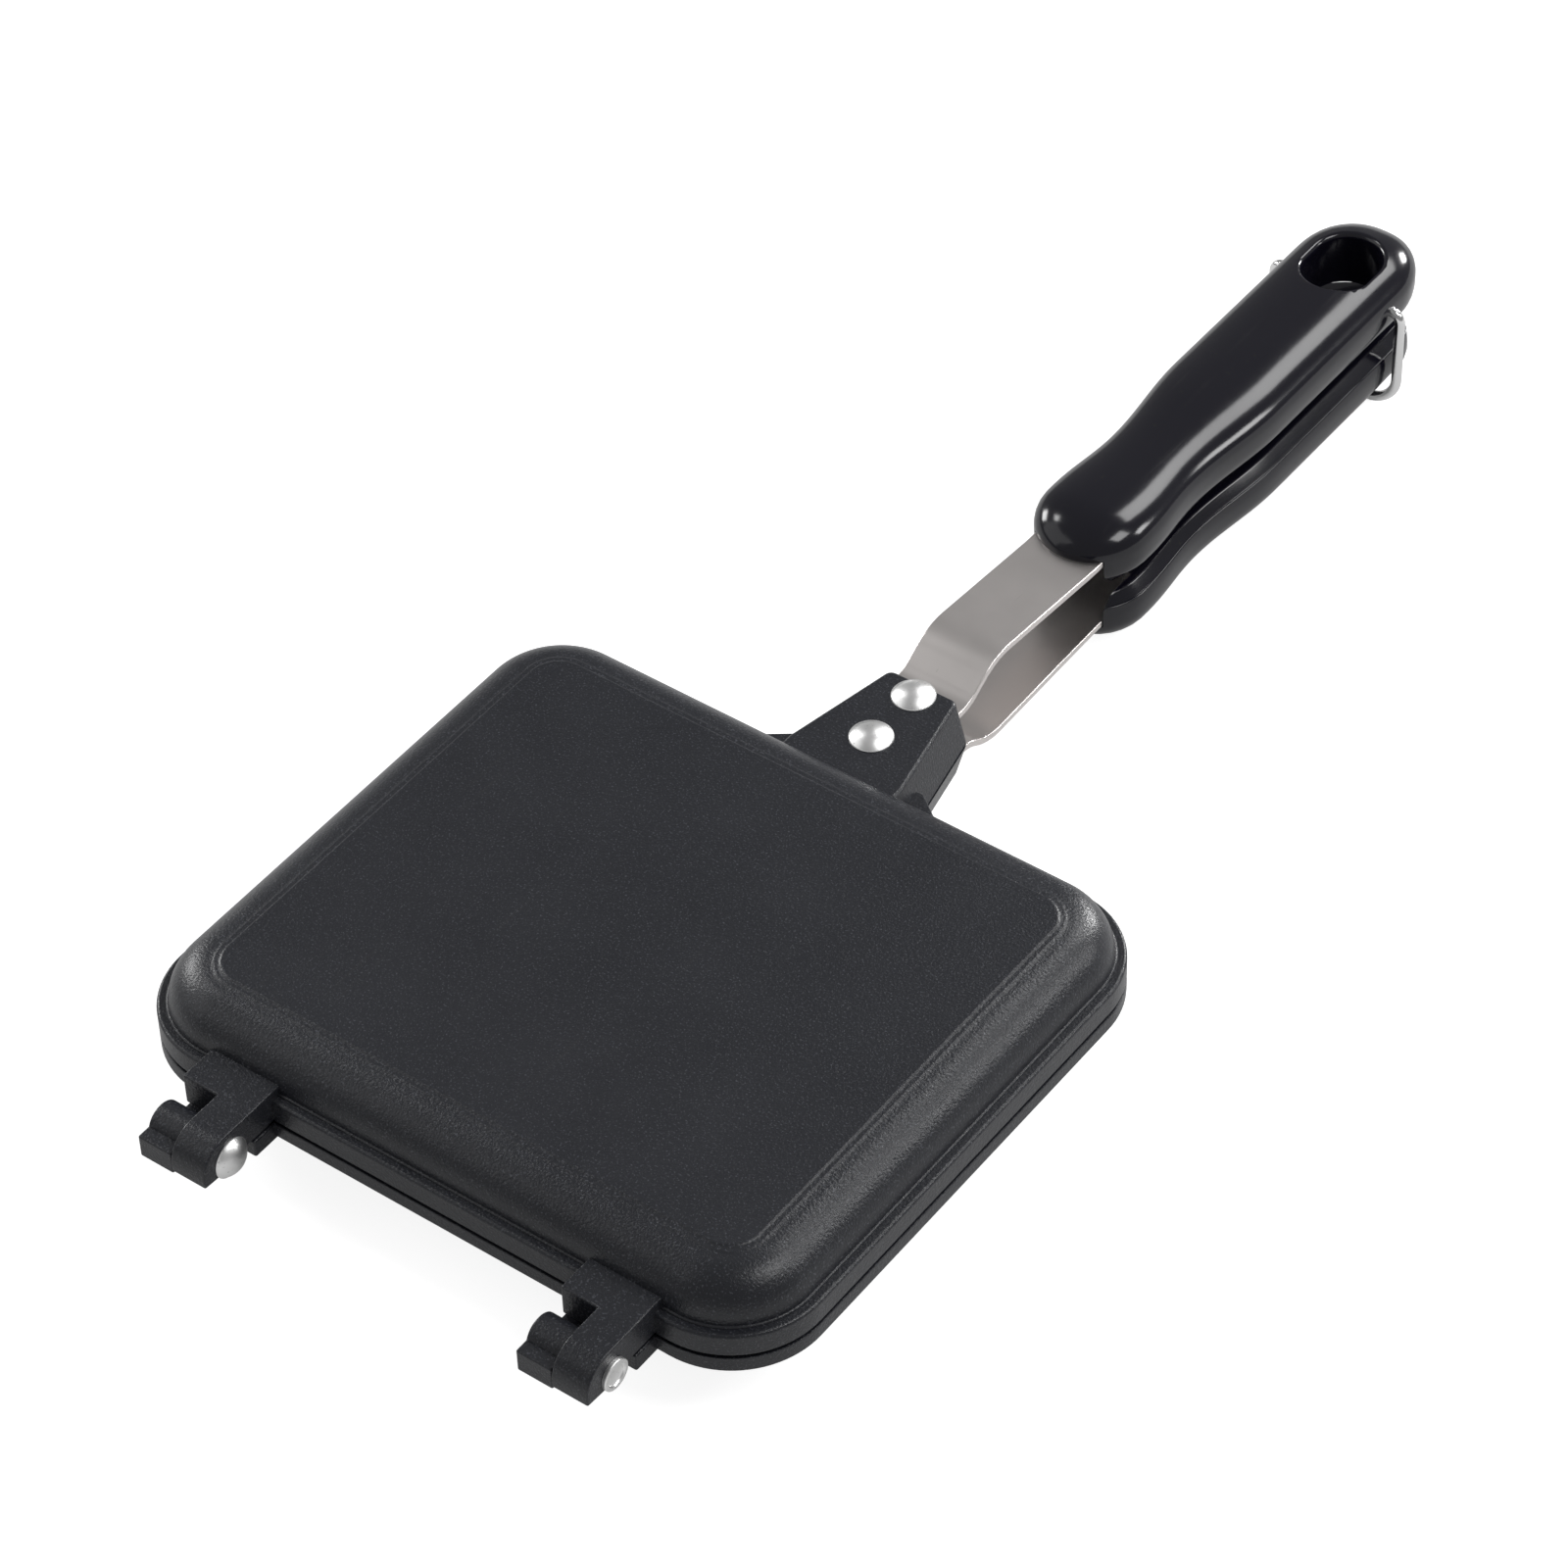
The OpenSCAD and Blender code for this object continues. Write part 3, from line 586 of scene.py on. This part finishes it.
def buildStrap(name, kind, material):
    v = strap
    peak = v["peaks"][kind]
    rise = math.radians(v["rise"])
    both = v["lowRadius"] + v["topRadius"]
    climb = (peak - v["level"] - both * (1 - math.cos(rise))) / math.sin(rise)
    topY = v["bendStart"] + both * math.sin(rise) + climb * math.cos(rise)
    # the fall that leads from the peak's round straight into the round at the grip's entry
    down = v["topRadius"] + v["entryRadius"]
    off = down - (peak - v["tangLevel"])
    ahead = v["entry"] - topY
    lean = math.asin(down / math.hypot(ahead, off))
    fall = math.degrees(lean - math.atan2(off, ahead))
    bm = bmesh.new()
    bmesh.ops.create_grid(bm, x_segments=1, y_segments=1, size=0.5,
                          matrix=Matrix.Rotation(math.radians(90), 4, "X"))
    bmesh.ops.scale(bm, verts=bm.verts, vec=(2 * v["halfWidth"], 1, v["thickness"]))
    bmesh.ops.translate(bm, verts=bm.verts, vec=(0, v["start"], v["level"]))
    bmesh.ops.delete(bm, geom=bm.faces[:], context="FACES_ONLY")
    path = startPath(bm, bm.edges[:], (0, v["start"], v["level"]), (0, 1, 0), (1, 0, 0))
    runOn(path, v["bendStart"] - v["start"])
    turnBy(path, v["rise"], v["lowRadius"])
    runOn(path, climb)
    turnBy(path, -v["rise"] - fall, v["topRadius"])
    runOn(path, math.hypot(ahead, off) * math.cos(lean))
    turnBy(path, fall, v["entryRadius"])
    runOn(path, v["tangStart"] - path["place"].y)
    runOn(path, v["tangStep"])
    tip = {w for e in path["ring"] for w in e.verts}
    bmesh.ops.scale(bm, verts=list(tip), vec=(v["tangHalf"] / v["halfWidth"], 1, 1))
    runOn(path, v["end"] - path["place"].y)
    closeUp(bm)
    bevelEdges(bm, sharpEdges(bm, degrees=60), v["edge"])
    obj = meshObject(name, bm)
    if kind == "lower":
        mirrorDown(obj)
    finishHalf(obj, kind, material, kind + "_strap")


latch = {
    "wire": 1.1, "sides": 20, "pivot": (236.1, 23.1), "leg": 15.3, "stub": 9.0, "stubBend": 2.2,
    "corner": 7.0, "crossbar": -1.1,
}


def buildLatch(name, material):
    v = latch
    bm = bmesh.new()
    bmesh.ops.create_circle(bm, segments=v["sides"], radius=v["wire"],
                            matrix=Matrix.Rotation(math.radians(90), 4, "Y"))
    start = Vector((-v["stub"], v["pivot"][0], v["pivot"][1]))
    bmesh.ops.translate(bm, verts=bm.verts, vec=start)
    path = startPath(bm, bm.edges[:], start, (-1, 0, 0), (0, -1, 0))
    inward = v["leg"] - v["stubBend"] - v["stub"]
    down = v["pivot"][1] - v["crossbar"] - v["stubBend"] - v["corner"]
    bends = ((v["stubBend"], 9), (v["corner"], 6), (v["corner"], 6), (v["stubBend"], 9))
    lengths = (down, 2 * (v["leg"] - v["corner"]), down, inward)
    runOn(path, inward)
    for (radius, stepAngle), length in zip(bends, lengths):
        turnBy(path, 90, radius, stepAngle)
        runOn(path, length)
    closeUp(bm)
    finishPiece(meshObject(name, bm), material, "latch", ["latch_bail"])


# rivets and hinge pins: turned shapes

dome = {"edge": 0.18, "foot": 0.04, "footIn": 0.05}

rivet = {
    "headRadius": 4.4, "headHeight": 2.0, "shank": 1.9, "tailRadius": 3.2, "tailHeight": 1.1,
    "seat": 9.2, "tailSeat": 4.25, "places": {"inner": 71.7, "outer": 85.5}, "sides": 48,
}

pins = {
    "shank": 1.75, "length": 16.1, "tailRadius": 2.9, "tailHeight": 0.5, "tailCut": 0.08, "tailEdge": 0.12,
    "headRadius": 4.2, "headHeight": 2.4, "ringRadius": 3.3, "ringHeight": 0.9, "ringEdge": 0.25,
    "dishRadius": 2.35, "dishDepth": 0.5, "dishEdge": 0.15, "dishStep": 0.12, "sides": 48,
}


def domeBall(r, h):
    # radius of the ball behind a dome of radius r and height h, and the angle where it ends
    ball = (r * r + h * h) / (2 * h)
    return ball, math.degrees(math.acos((r - dome["edge"]) / ball))


def domeMoves(r, h, level=0.0):
    # from the crown of a dome of radius r and height h down to its foot
    ball, foot = domeBall(r, h)
    moves = [((0, level + h - ball), foot - 90), (r, level + dome["edge"]), (r, level + dome["foot"]),
             (r - dome["footIn"], level)]
    return (0, level + h), moves


def turned(start, moves, sides):
    bm = bmesh.new()
    drawSection(bm, start, moves, stepAngle=4.0, closed=False)
    bmesh.ops.spin(bm, geom=bm.verts[:] + bm.edges[:], cent=(0, 0, 0), axis=(0, 0, 1),
                   angle=math.radians(360), steps=sides, use_merge=True)
    closeUp(bm)
    return bm


def buildRivet(name, kind, which, material):
    v = rivet
    r, seat = v["tailRadius"], v["tailSeat"]
    start, head = domeMoves(v["headRadius"], v["headHeight"], v["seat"])
    ball, foot = domeBall(r, v["tailHeight"])
    centre = seat - v["tailHeight"] + ball
    lean = math.radians(foot)
    tail = [(v["shank"], v["seat"]), (v["shank"], seat), (r - dome["footIn"], seat),
            (r, seat - dome["foot"]), (r, seat - dome["edge"]),
            (ball * math.cos(lean), centre - ball * math.sin(lean)),
            ((0, centre), foot - 90)]
    bm = turned(start, head + tail, v["sides"])
    bmesh.ops.translate(bm, verts=bm.verts, vec=(0, v["places"][which], 0))
    obj = meshObject(name, bm)
    if kind == "lower":
        mirrorDown(obj)
    finishHalf(obj, kind, material, f"{kind}_rivet_{which}")


def ringMoves(v):
    # the right pin's end: a raised ring round a shallow dish
    r, h, dish, edge = v["ringRadius"], v["ringHeight"], v["dishRadius"], v["dishEdge"]
    floor = h - v["dishDepth"]
    moves = [(dish - 0.5, floor), (dish - edge, floor + v["dishStep"]), (dish, h - v["dishStep"]),
             (dish + edge, h), (r - v["ringEdge"], h), ((r - v["ringEdge"], h - v["ringEdge"]), -90),
             (r, dome["foot"]), (r - dome["footIn"], 0)]
    return (0, floor), moves


def buildPin(name, side, material):
    # turned about Z with the visible end up, then laid along X
    v = pins
    r, low, end = v["tailRadius"], -v["length"], -v["length"] - v["tailHeight"]
    shankAndTail = [(v["shank"], 0), (v["shank"], low), (r - v["tailCut"], low), (r, low - v["tailCut"]),
                    (r, end + v["tailEdge"]), (r - v["tailEdge"], end), (0, end)]
    start, moves = domeMoves(v["headRadius"], v["headHeight"]) if side < 0 else ringMoves(v)
    bm = turned(start, moves + shankAndTail, v["sides"])
    bmesh.ops.rotate(bm, verts=bm.verts, cent=(0, 0, 0), matrix=Matrix.Rotation(math.radians(90), 3, "Y"))
    place = (side * hinge["across"] + hinge["halfWidth"], hinge["pin"][0], hinge["pin"][1])
    bmesh.ops.translate(bm, verts=bm.verts, vec=place)
    node = "hinge_pin_left" if side < 0 else "hinge_pin_right"
    finishPiece(meshObject(name, bm), material, "base", [node])


# grips

grip = {
    "front": 134.9, "low": 1.7, "middle": 8.0, "top": 14.8,
    "bulb": 12.3, "waist": 11.0, "straight": 13.2, "bulbEnd": 15.0, "waistAt": 33.0, "straightAt": 60.0,
    "waistDip": 0.5, "dipRise": (12.0, 20.0), "dipFall": (34.0, 24.0),  # where each starts, and its length
    "crownPower": 2.45, "noseLength": 13.0, "noseRise": 12.0,
    "noseAngles": (3, 7, 12, 18, 25, 32, 40, 48, 57, 66, 76, 86), "middleCount": 46,
    "tailAngles": (7, 14, 22, 30, 38, 46, 53, 60, 66, 72, 78, 83, 87),
    "lipInset": 0.4, "segments": 84, "skirtDepth": 8.1,
    # level of each row of the skirt, and its share of the inset
    "skirt": ((7.4, 0), (6.8, 0), (6.2, 0), (5.6, 0), (5.0, 0), (4.5, 0), (4.18, 0), (4.06, 0.12),
              (4.0, 0.4), (3.97, 0.85), (3.85, 1.0), (1.95, 1.0), (1.77, 1.2), (1.7, 1.6)),
    "upper": {"length": 121.0, "tail": 15.5, "tailRise": 12.5},
    "lower": {"length": 116.3, "tail": 9.6, "tailRise": 22.0},
    # one side of the cut into the underside, a wide mouth and the tang's slot, y from the grip's front on
    "recess": ((8.2, -5), (8.2, 13.2), (6.2, 13.2), (6.2, 86.5)), "recessLevels": (-1, 8.65),
}

hang = {
    "radius": 7.2, "shift": 2.1, "place": 237.5, "fillet": 1.5, "sides": 64,
    "flare": (15, 30, 45, 60, 70, 78), "below": -2, "lift": 0.05, "above": 12,
}


def ease(t):
    t = min(max(t, 0.0), 1.0)
    return (1 - math.cos(math.pi * t)) / 2


def swell(t):
    t = min(max(t, 0.0), 1.0)
    return math.sqrt(1 - (1 - t) ** 2)


def gripHalfWidth(d, length, tail):
    v = grip
    w = v["bulb"] + (v["waist"] - v["bulb"]) * ease((d - v["bulbEnd"]) / (v["waistAt"] - v["bulbEnd"]))
    w += (v["straight"] - v["waist"]) * ease((d - v["waistAt"]) / (v["straightAt"] - v["waistAt"]))
    return w * swell(d / v["noseLength"]) * swell((length - d) / tail)


def gripCrown(d, length, tailRise):
    v = grip
    dip = ease((d - v["dipRise"][0]) / v["dipRise"][1]) - ease((d - v["dipFall"][0]) / v["dipFall"][1])
    h = v["top"] - v["middle"] - v["waistDip"] * dip
    return h * swell(d / v["noseRise"]) * swell((length - d) / tailRise)


def gripPoint(index, w, h):
    # x and z of one point of the cross-section: crown first, then left flank, open side and right flank
    v = grip
    half = v["segments"] // 2
    if index <= half:
        a = math.pi * index / half
        c, s = math.cos(a), math.sin(a)
        power = 2 / v["crownPower"]
        return math.copysign(w * abs(c) ** power, c), v["middle"] + h * max(s, 0) ** power
    levels = v["skirt"]
    left = index - half - 1
    right = v["segments"] - 1 - index
    k = min(left, right)
    z, inset = levels[min(k, len(levels) - 1)]
    x = w * (1 - ((v["middle"] - z) / v["skirtDepth"]) ** 3) ** (1 / 3) - inset * min(v["lipInset"], w / 4)
    if k >= len(levels):
        span = v["segments"] - half - 1 - 2 * len(levels)
        x *= 1 - 2 * (left - len(levels) + 1) / (span + 1)
        return -x, v["low"]
    return (-x if left < right else x), z


def crownLevel(x, y):
    # level of the upper grip's crown above the mating plane
    v = grip["upper"]
    d = y - grip["front"]
    w = gripHalfWidth(d, v["length"], v["tail"])
    h = gripCrown(d, v["length"], v["tailRise"])
    share = min(abs(x) / max(w, 0.01), 1.0)
    return grip["middle"] + h * (1 - share ** grip["crownPower"]) ** (1 / grip["crownPower"])


def gripStations(length, tail):
    nose, count = grip["noseLength"], grip["middleCount"]
    front = [nose * (1 - math.cos(math.radians(a))) for a in grip["noseAngles"]]
    middle = [nose + (length - nose - tail) * i / count for i in range(1, count + 1)]
    rear = [length - tail * (1 - math.sin(math.radians(a))) for a in grip["tailAngles"]]
    return front + middle + rear


def buildGripBody(kind):
    v = grip[kind]
    stations = gripStations(v["length"], max(v["tail"], v["tailRise"]))

    def pointAt(step, index):
        d = stations[step]
        w = gripHalfWidth(d, v["length"], v["tail"])
        x, z = gripPoint(index, w, gripCrown(d, v["length"], v["tailRise"]))
        return x, grip["front"] + d, z

    bm = bmesh.new()
    loft(bm, grip["segments"], len(stations), pointAt)
    bmesh.ops.holes_fill(bm, edges=[e for e in bm.edges if e.is_boundary], sides=0)
    bmesh.ops.recalc_face_normals(bm, faces=bm.faces)
    return meshObject("grip", bm)


def buildHangCutter():
    # stadium-shaped plug whose top flares so that it leaves a rounded edge on the crown
    v = hang
    flare = [math.radians(a) for a in v["flare"]]
    rings = [(0, None), (0, v["fillet"])] + [
        (v["fillet"] * (1 - math.cos(a)), v["fillet"] * (1 - math.sin(a))) for a in flare]

    def pointAt(step, index):
        out, drop = rings[step]
        a = 2 * math.pi * index / v["sides"]
        x = (v["radius"] + out) * math.cos(a)
        y = v["place"] + math.copysign(v["shift"], math.sin(a)) + (v["radius"] + out) * math.sin(a)
        return x, y, v["below"] if drop is None else crownLevel(x, y) - drop + v["lift"]

    bm = bmesh.new()
    ring = loft(bm, v["sides"], len(rings), pointAt)
    extrudeRing(bm, ring, (0, 0, v["above"]))
    closeUp(bm)
    return bm


def buildGrip(name, kind, material):
    body = buildGripBody(kind)
    body.name = name
    side = [(x, grip["front"] + y) for x, y in grip["recess"]]
    cutters = [prism(side + [(-x, y) for x, y in reversed(side)], *grip["recessLevels"])]
    if kind == "upper":
        cutters.append(buildHangCutter())
    combine(body, cutters, "DIFFERENCE")
    if kind == "lower":
        mirrorDown(body)
    finishHalf(body, kind, material, kind + "_handle")
    print(name, "built:", len(body.data.polygons), "faces")


# finishes

def newGroup(name, inputs, outputs):
    tree = bpy.data.node_groups.new(name, "ShaderNodeTree")
    for label, kind, value in inputs:
        socket = tree.interface.new_socket(label, in_out="INPUT", socket_type=kind)
        if value is not None:
            socket.default_value = value
    for label in outputs:
        tree.interface.new_socket(label, in_out="OUTPUT", socket_type="NodeSocketFloat")
    return tree, addNode(tree, "NodeGroupInput"), addNode(tree, "NodeGroupOutput")


def mathNode(tree, operation, first, second=None, third=None, clamp=False):
    n = addNode(tree, "ShaderNodeMath", operation=operation, use_clamp=clamp)
    for slotIndex, value in enumerate((first, second, third)):
        if value is None:
            continue
        if isinstance(value, (int, float)):
            n.inputs[slotIndex].default_value = value
        else:
            join(tree, value, n.inputs[slotIndex])
    return n.outputs[0]


def above(tree, value, threshold, steepness):
    # 0 below the threshold, rising to 1 above it
    return mathNode(tree, "MULTIPLY", mathNode(tree, "SUBTRACT", value, threshold), steepness, clamp=True)


def buildGrainGroup():
    # fine grain, and sparse flecks where a second noise rises above its threshold
    tree, entry, end = newGroup("fineGrain", [
        ("Vector", "NodeSocketVector", None), ("Grain Scale", "NodeSocketFloat", 1500.0),
        ("Fleck Scale", "NodeSocketFloat", 2200.0), ("Fleck Threshold", "NodeSocketFloat", 0.66)],
        ("Grain", "Flecks"))
    grain = addNode(tree, "ShaderNodeTexNoise", {"Detail": 3.0, "Roughness": 0.55})
    fleck = addNode(tree, "ShaderNodeTexNoise", {"Detail": 1.0, "Roughness": 0.4})
    for n, label in ((grain, "Grain Scale"), (fleck, "Fleck Scale")):
        join(tree, entry.outputs["Vector"], n.inputs["Vector"])
        join(tree, entry.outputs[label], n.inputs["Scale"])
    join(tree, grain.outputs["Fac"], end.inputs["Grain"])
    flecks = above(tree, fleck.outputs["Fac"], entry.outputs["Fleck Threshold"], 12.0)
    join(tree, flecks, end.inputs["Flecks"])
    return tree


def buildWearGroup():
    # soft clouds of handling, and thin scratches that run mostly one way and come and go with the clouds
    tree, entry, end = newGroup("handlingWear", [
        ("Vector", "NodeSocketVector", None), ("Cloud Scale", "NodeSocketFloat", 40.0),
        ("Scratch Scale", "NodeSocketFloat", 900.0), ("Scratch Amount", "NodeSocketFloat", 0.3)],
        ("Clouds", "Scratches"))
    clouds = addNode(tree, "ShaderNodeTexNoise", {"Detail": 3.0, "Roughness": 0.6})
    join(tree, entry.outputs["Vector"], clouds.inputs["Vector"])
    join(tree, entry.outputs["Cloud Scale"], clouds.inputs["Scale"])
    masks = []
    for turn in (0.35, -0.9):
        lay = addNode(tree, "ShaderNodeMapping", {"Rotation": (0.2, 0.1, turn), "Scale": (1.0, 0.035, 0.3)})
        join(tree, entry.outputs["Vector"], lay.inputs["Vector"])
        line = addNode(tree, "ShaderNodeTexNoise", {"Detail": 1.0, "Roughness": 0.3})
        join(tree, lay.outputs[0], line.inputs["Vector"])
        join(tree, entry.outputs["Scratch Scale"], line.inputs["Scale"])
        masks.append(above(tree, line.outputs["Fac"], 0.69, 14.0))
    lines = mathNode(tree, "MAXIMUM", masks[0], masks[1])
    lines = mathNode(tree, "MULTIPLY", lines, above(tree, clouds.outputs["Fac"], 0.42, 5.0))
    join(tree, clouds.outputs["Fac"], end.inputs["Clouds"])
    join(tree, mathNode(tree, "MULTIPLY", lines, entry.outputs["Scratch Amount"]), end.inputs["Scratches"])
    return tree


fineGrain = buildGrainGroup()
handlingWear = buildWearGroup()


def mixColour(tree, share, first, second):
    n = addNode(tree, "ShaderNodeMix", data_type="RGBA")
    join(tree, share, n.inputs["Factor"])
    for label, value in (("A", first), ("B", second)):
        socket = next(s for s in n.inputs if s.name == label and s.type == "RGBA")
        if isinstance(value, tuple):
            socket.default_value = value
        else:
            join(tree, value, socket)
    return next(s for s in n.outputs if s.type == "RGBA")


def makeFinish(name, v):
    mat, tree = newTree(name)
    out = addNode(tree, "ShaderNodeOutputMaterial")
    bsdf = addNode(tree, "ShaderNodeBsdfPrincipled", {
        "Metallic": v["metallic"], "Specular IOR Level": v["specular"], "IOR": v.get("ior", 1.5)})
    join(tree, bsdf.outputs[0], out.inputs["Surface"])
    coord = addNode(tree, "ShaderNodeTexCoord")
    lay = addNode(tree, "ShaderNodeMapping", {"Scale": v.get("stretch", (1.0, 1.0, 1.0))})
    join(tree, coord.outputs["Object"], lay.inputs["Vector"])
    grain = addNode(tree, "ShaderNodeGroup", node_tree=fineGrain)
    join(tree, lay.outputs[0], grain.inputs["Vector"])
    wear = addNode(tree, "ShaderNodeGroup", node_tree=handlingWear)
    join(tree, coord.outputs["Object"], wear.inputs["Vector"])
    for label, key in (("Grain Scale", "grainScale"), ("Fleck Scale", "fleckScale"),
                       ("Fleck Threshold", "fleckLevel")):
        grain.inputs[label].default_value = v[key]
    for label, key in (("Cloud Scale", "cloudScale"), ("Scratch Scale", "scratchScale"),
                       ("Scratch Amount", "scratches")):
        wear.inputs[label].default_value = v[key]
    colour = mixColour(tree, wear.outputs["Clouds"], v["colour"], v["colourTwo"])
    colour = mixColour(tree, grain.outputs["Flecks"], colour, v["fleckColour"])
    colour = mixColour(tree, wear.outputs["Scratches"], colour, v["scratchColour"])
    join(tree, colour, bsdf.inputs["Base Color"])
    low, high = v["rough"]
    rough = mathNode(tree, "MULTIPLY_ADD", wear.outputs["Clouds"], high - low, low)
    rough = mathNode(tree, "MULTIPLY_ADD", grain.outputs["Grain"], v["grainRough"], rough)
    rough = mathNode(tree, "MULTIPLY_ADD", wear.outputs["Scratches"], v["scratchRough"], rough, clamp=True)
    join(tree, rough, bsdf.inputs["Roughness"])
    height = mathNode(tree, "MULTIPLY", grain.outputs["Grain"], v["grainHeight"])
    height = mathNode(tree, "MULTIPLY_ADD", wear.outputs["Clouds"], v["cloudHeight"], height)
    height = mathNode(tree, "MULTIPLY_ADD", wear.outputs["Scratches"], -v["scratchDepth"], height)
    bump = addNode(tree, "ShaderNodeBump", {"Strength": 1.0, "Distance": 0.001})
    join(tree, height, bump.inputs["Height"])
    join(tree, bump.outputs[0], bsdf.inputs["Normal"])
    return mat


finishes = {
    "panCoat": {
        "colour": (0.0112, 0.0120, 0.0160, 1), "colourTwo": (0.0172, 0.0186, 0.0238, 1),
        "fleckColour": (0.060, 0.063, 0.074, 1), "scratchColour": (0.03, 0.03, 0.032, 1),
        "metallic": 0.0, "specular": 0.5, "rough": (0.21, 0.29), "grainRough": 0.10, "scratchRough": -0.08,
        "grainScale": 1900.0, "fleckScale": 2600.0, "fleckLevel": 0.62, "cloudScale": 45.0,
        "scratchScale": 700.0, "scratches": 0.25,
        "grainHeight": 0.115, "cloudHeight": 0.02, "scratchDepth": 0.004,
    },
    "strapSteel": {
        "colour": (0.74, 0.70, 0.68, 1), "colourTwo": (0.82, 0.78, 0.76, 1),
        "fleckColour": (0.56, 0.54, 0.52, 1), "scratchColour": (0.75, 0.74, 0.72, 1),
        "metallic": 1.0, "specular": 0.5, "rough": (0.27, 0.33), "grainRough": 0.04, "scratchRough": 0.08,
        "grainScale": 2600.0, "fleckScale": 1200.0, "fleckLevel": 0.78, "cloudScale": 60.0,
        "scratchScale": 1100.0, "scratches": 0.15, "stretch": (1.0, 0.03, 1.0),
        "grainHeight": 0.0025, "cloudHeight": 0.02, "scratchDepth": 0.001,
    },
    "rivetMetal": {
        "colour": (0.89, 0.89, 0.885, 1), "colourTwo": (0.95, 0.95, 0.945, 1),
        "fleckColour": (0.62, 0.62, 0.62, 1), "scratchColour": (0.7, 0.7, 0.7, 1),
        "metallic": 1.0, "specular": 0.5, "rough": (0.30, 0.38), "grainRough": 0.08, "scratchRough": 0.12,
        "grainScale": 1400.0, "fleckScale": 1600.0, "fleckLevel": 0.68, "cloudScale": 300.0,
        "scratchScale": 1500.0, "scratches": 0.8,
        "grainHeight": 0.010, "cloudHeight": 0.03, "scratchDepth": 0.006,
    },
    "gripPlastic": {
        "colour": (0.0040, 0.0037, 0.0080, 1), "colourTwo": (0.0056, 0.0052, 0.0098, 1),
        "fleckColour": (0.012, 0.012, 0.0125, 1), "scratchColour": (0.03, 0.03, 0.031, 1),
        "metallic": 0.0, "specular": 0.5, "rough": (0.11, 0.17), "grainRough": 0.03, "scratchRough": 0.12,
        "grainScale": 700.0, "fleckScale": 900.0, "fleckLevel": 0.72, "cloudScale": 55.0,
        "scratchScale": 800.0, "scratches": 0.25,
        "grainHeight": 0.0012, "cloudHeight": 0.05, "scratchDepth": 0.0015,
    },
    "screwSteel": {
        "colour": (0.58, 0.585, 0.6, 1), "colourTwo": (0.68, 0.68, 0.67, 1),
        "fleckColour": (0.5, 0.5, 0.5, 1), "scratchColour": (0.75, 0.75, 0.75, 1),
        "metallic": 1.0, "specular": 0.5, "rough": (0.26, 0.36), "grainRough": 0.08, "scratchRough": 0.1,
        "grainScale": 2000.0, "fleckScale": 1800.0, "fleckLevel": 0.66, "cloudScale": 250.0,
        "scratchScale": 1500.0, "scratches": 0.6,
        "grainHeight": 0.008, "cloudHeight": 0.02, "scratchDepth": 0.005,
    },
    "latchWire": {
        "colour": (0.74, 0.74, 0.745, 1), "colourTwo": (0.82, 0.82, 0.815, 1),
        "fleckColour": (0.6, 0.6, 0.6, 1), "scratchColour": (0.85, 0.85, 0.85, 1),
        "metallic": 1.0, "specular": 0.5, "rough": (0.08, 0.15), "grainRough": 0.04, "scratchRough": 0.1,
        "grainScale": 2500.0, "fleckScale": 2000.0, "fleckLevel": 0.7, "cloudScale": 200.0,
        "scratchScale": 1600.0, "scratches": 0.5,
        "grainHeight": 0.003, "cloudHeight": 0.02, "scratchDepth": 0.003,
    },
}
finish = {name: makeFinish(name, values) for name, values in finishes.items()}
print("finishes ready")


# the pan's pieces

for kind in ("upper", "lower"):
    buildPan(kind + "PanHalf", kind, finish["panCoat"])
    buildStrap(kind + "StrapBent", kind, finish["strapSteel"])
    for which in ("inner", "outer"):
        buildRivet(f"{kind}Rivet_{which}", kind, which, finish["rivetMetal"])
    buildGrip(kind + "Grip", kind, finish["gripPlastic"])
buildPin("leftHingePin", -1, finish["rivetMetal"])
buildPin("rightHingePin", 1, finish["rivetMetal"])
buildLatch("wireLatch", finish["latchWire"])
for name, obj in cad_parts.items():
    if "screw" in name:
        obj.data.materials.clear()
        obj.data.materials.append(finish["screwSteel"])
print("pieces built")
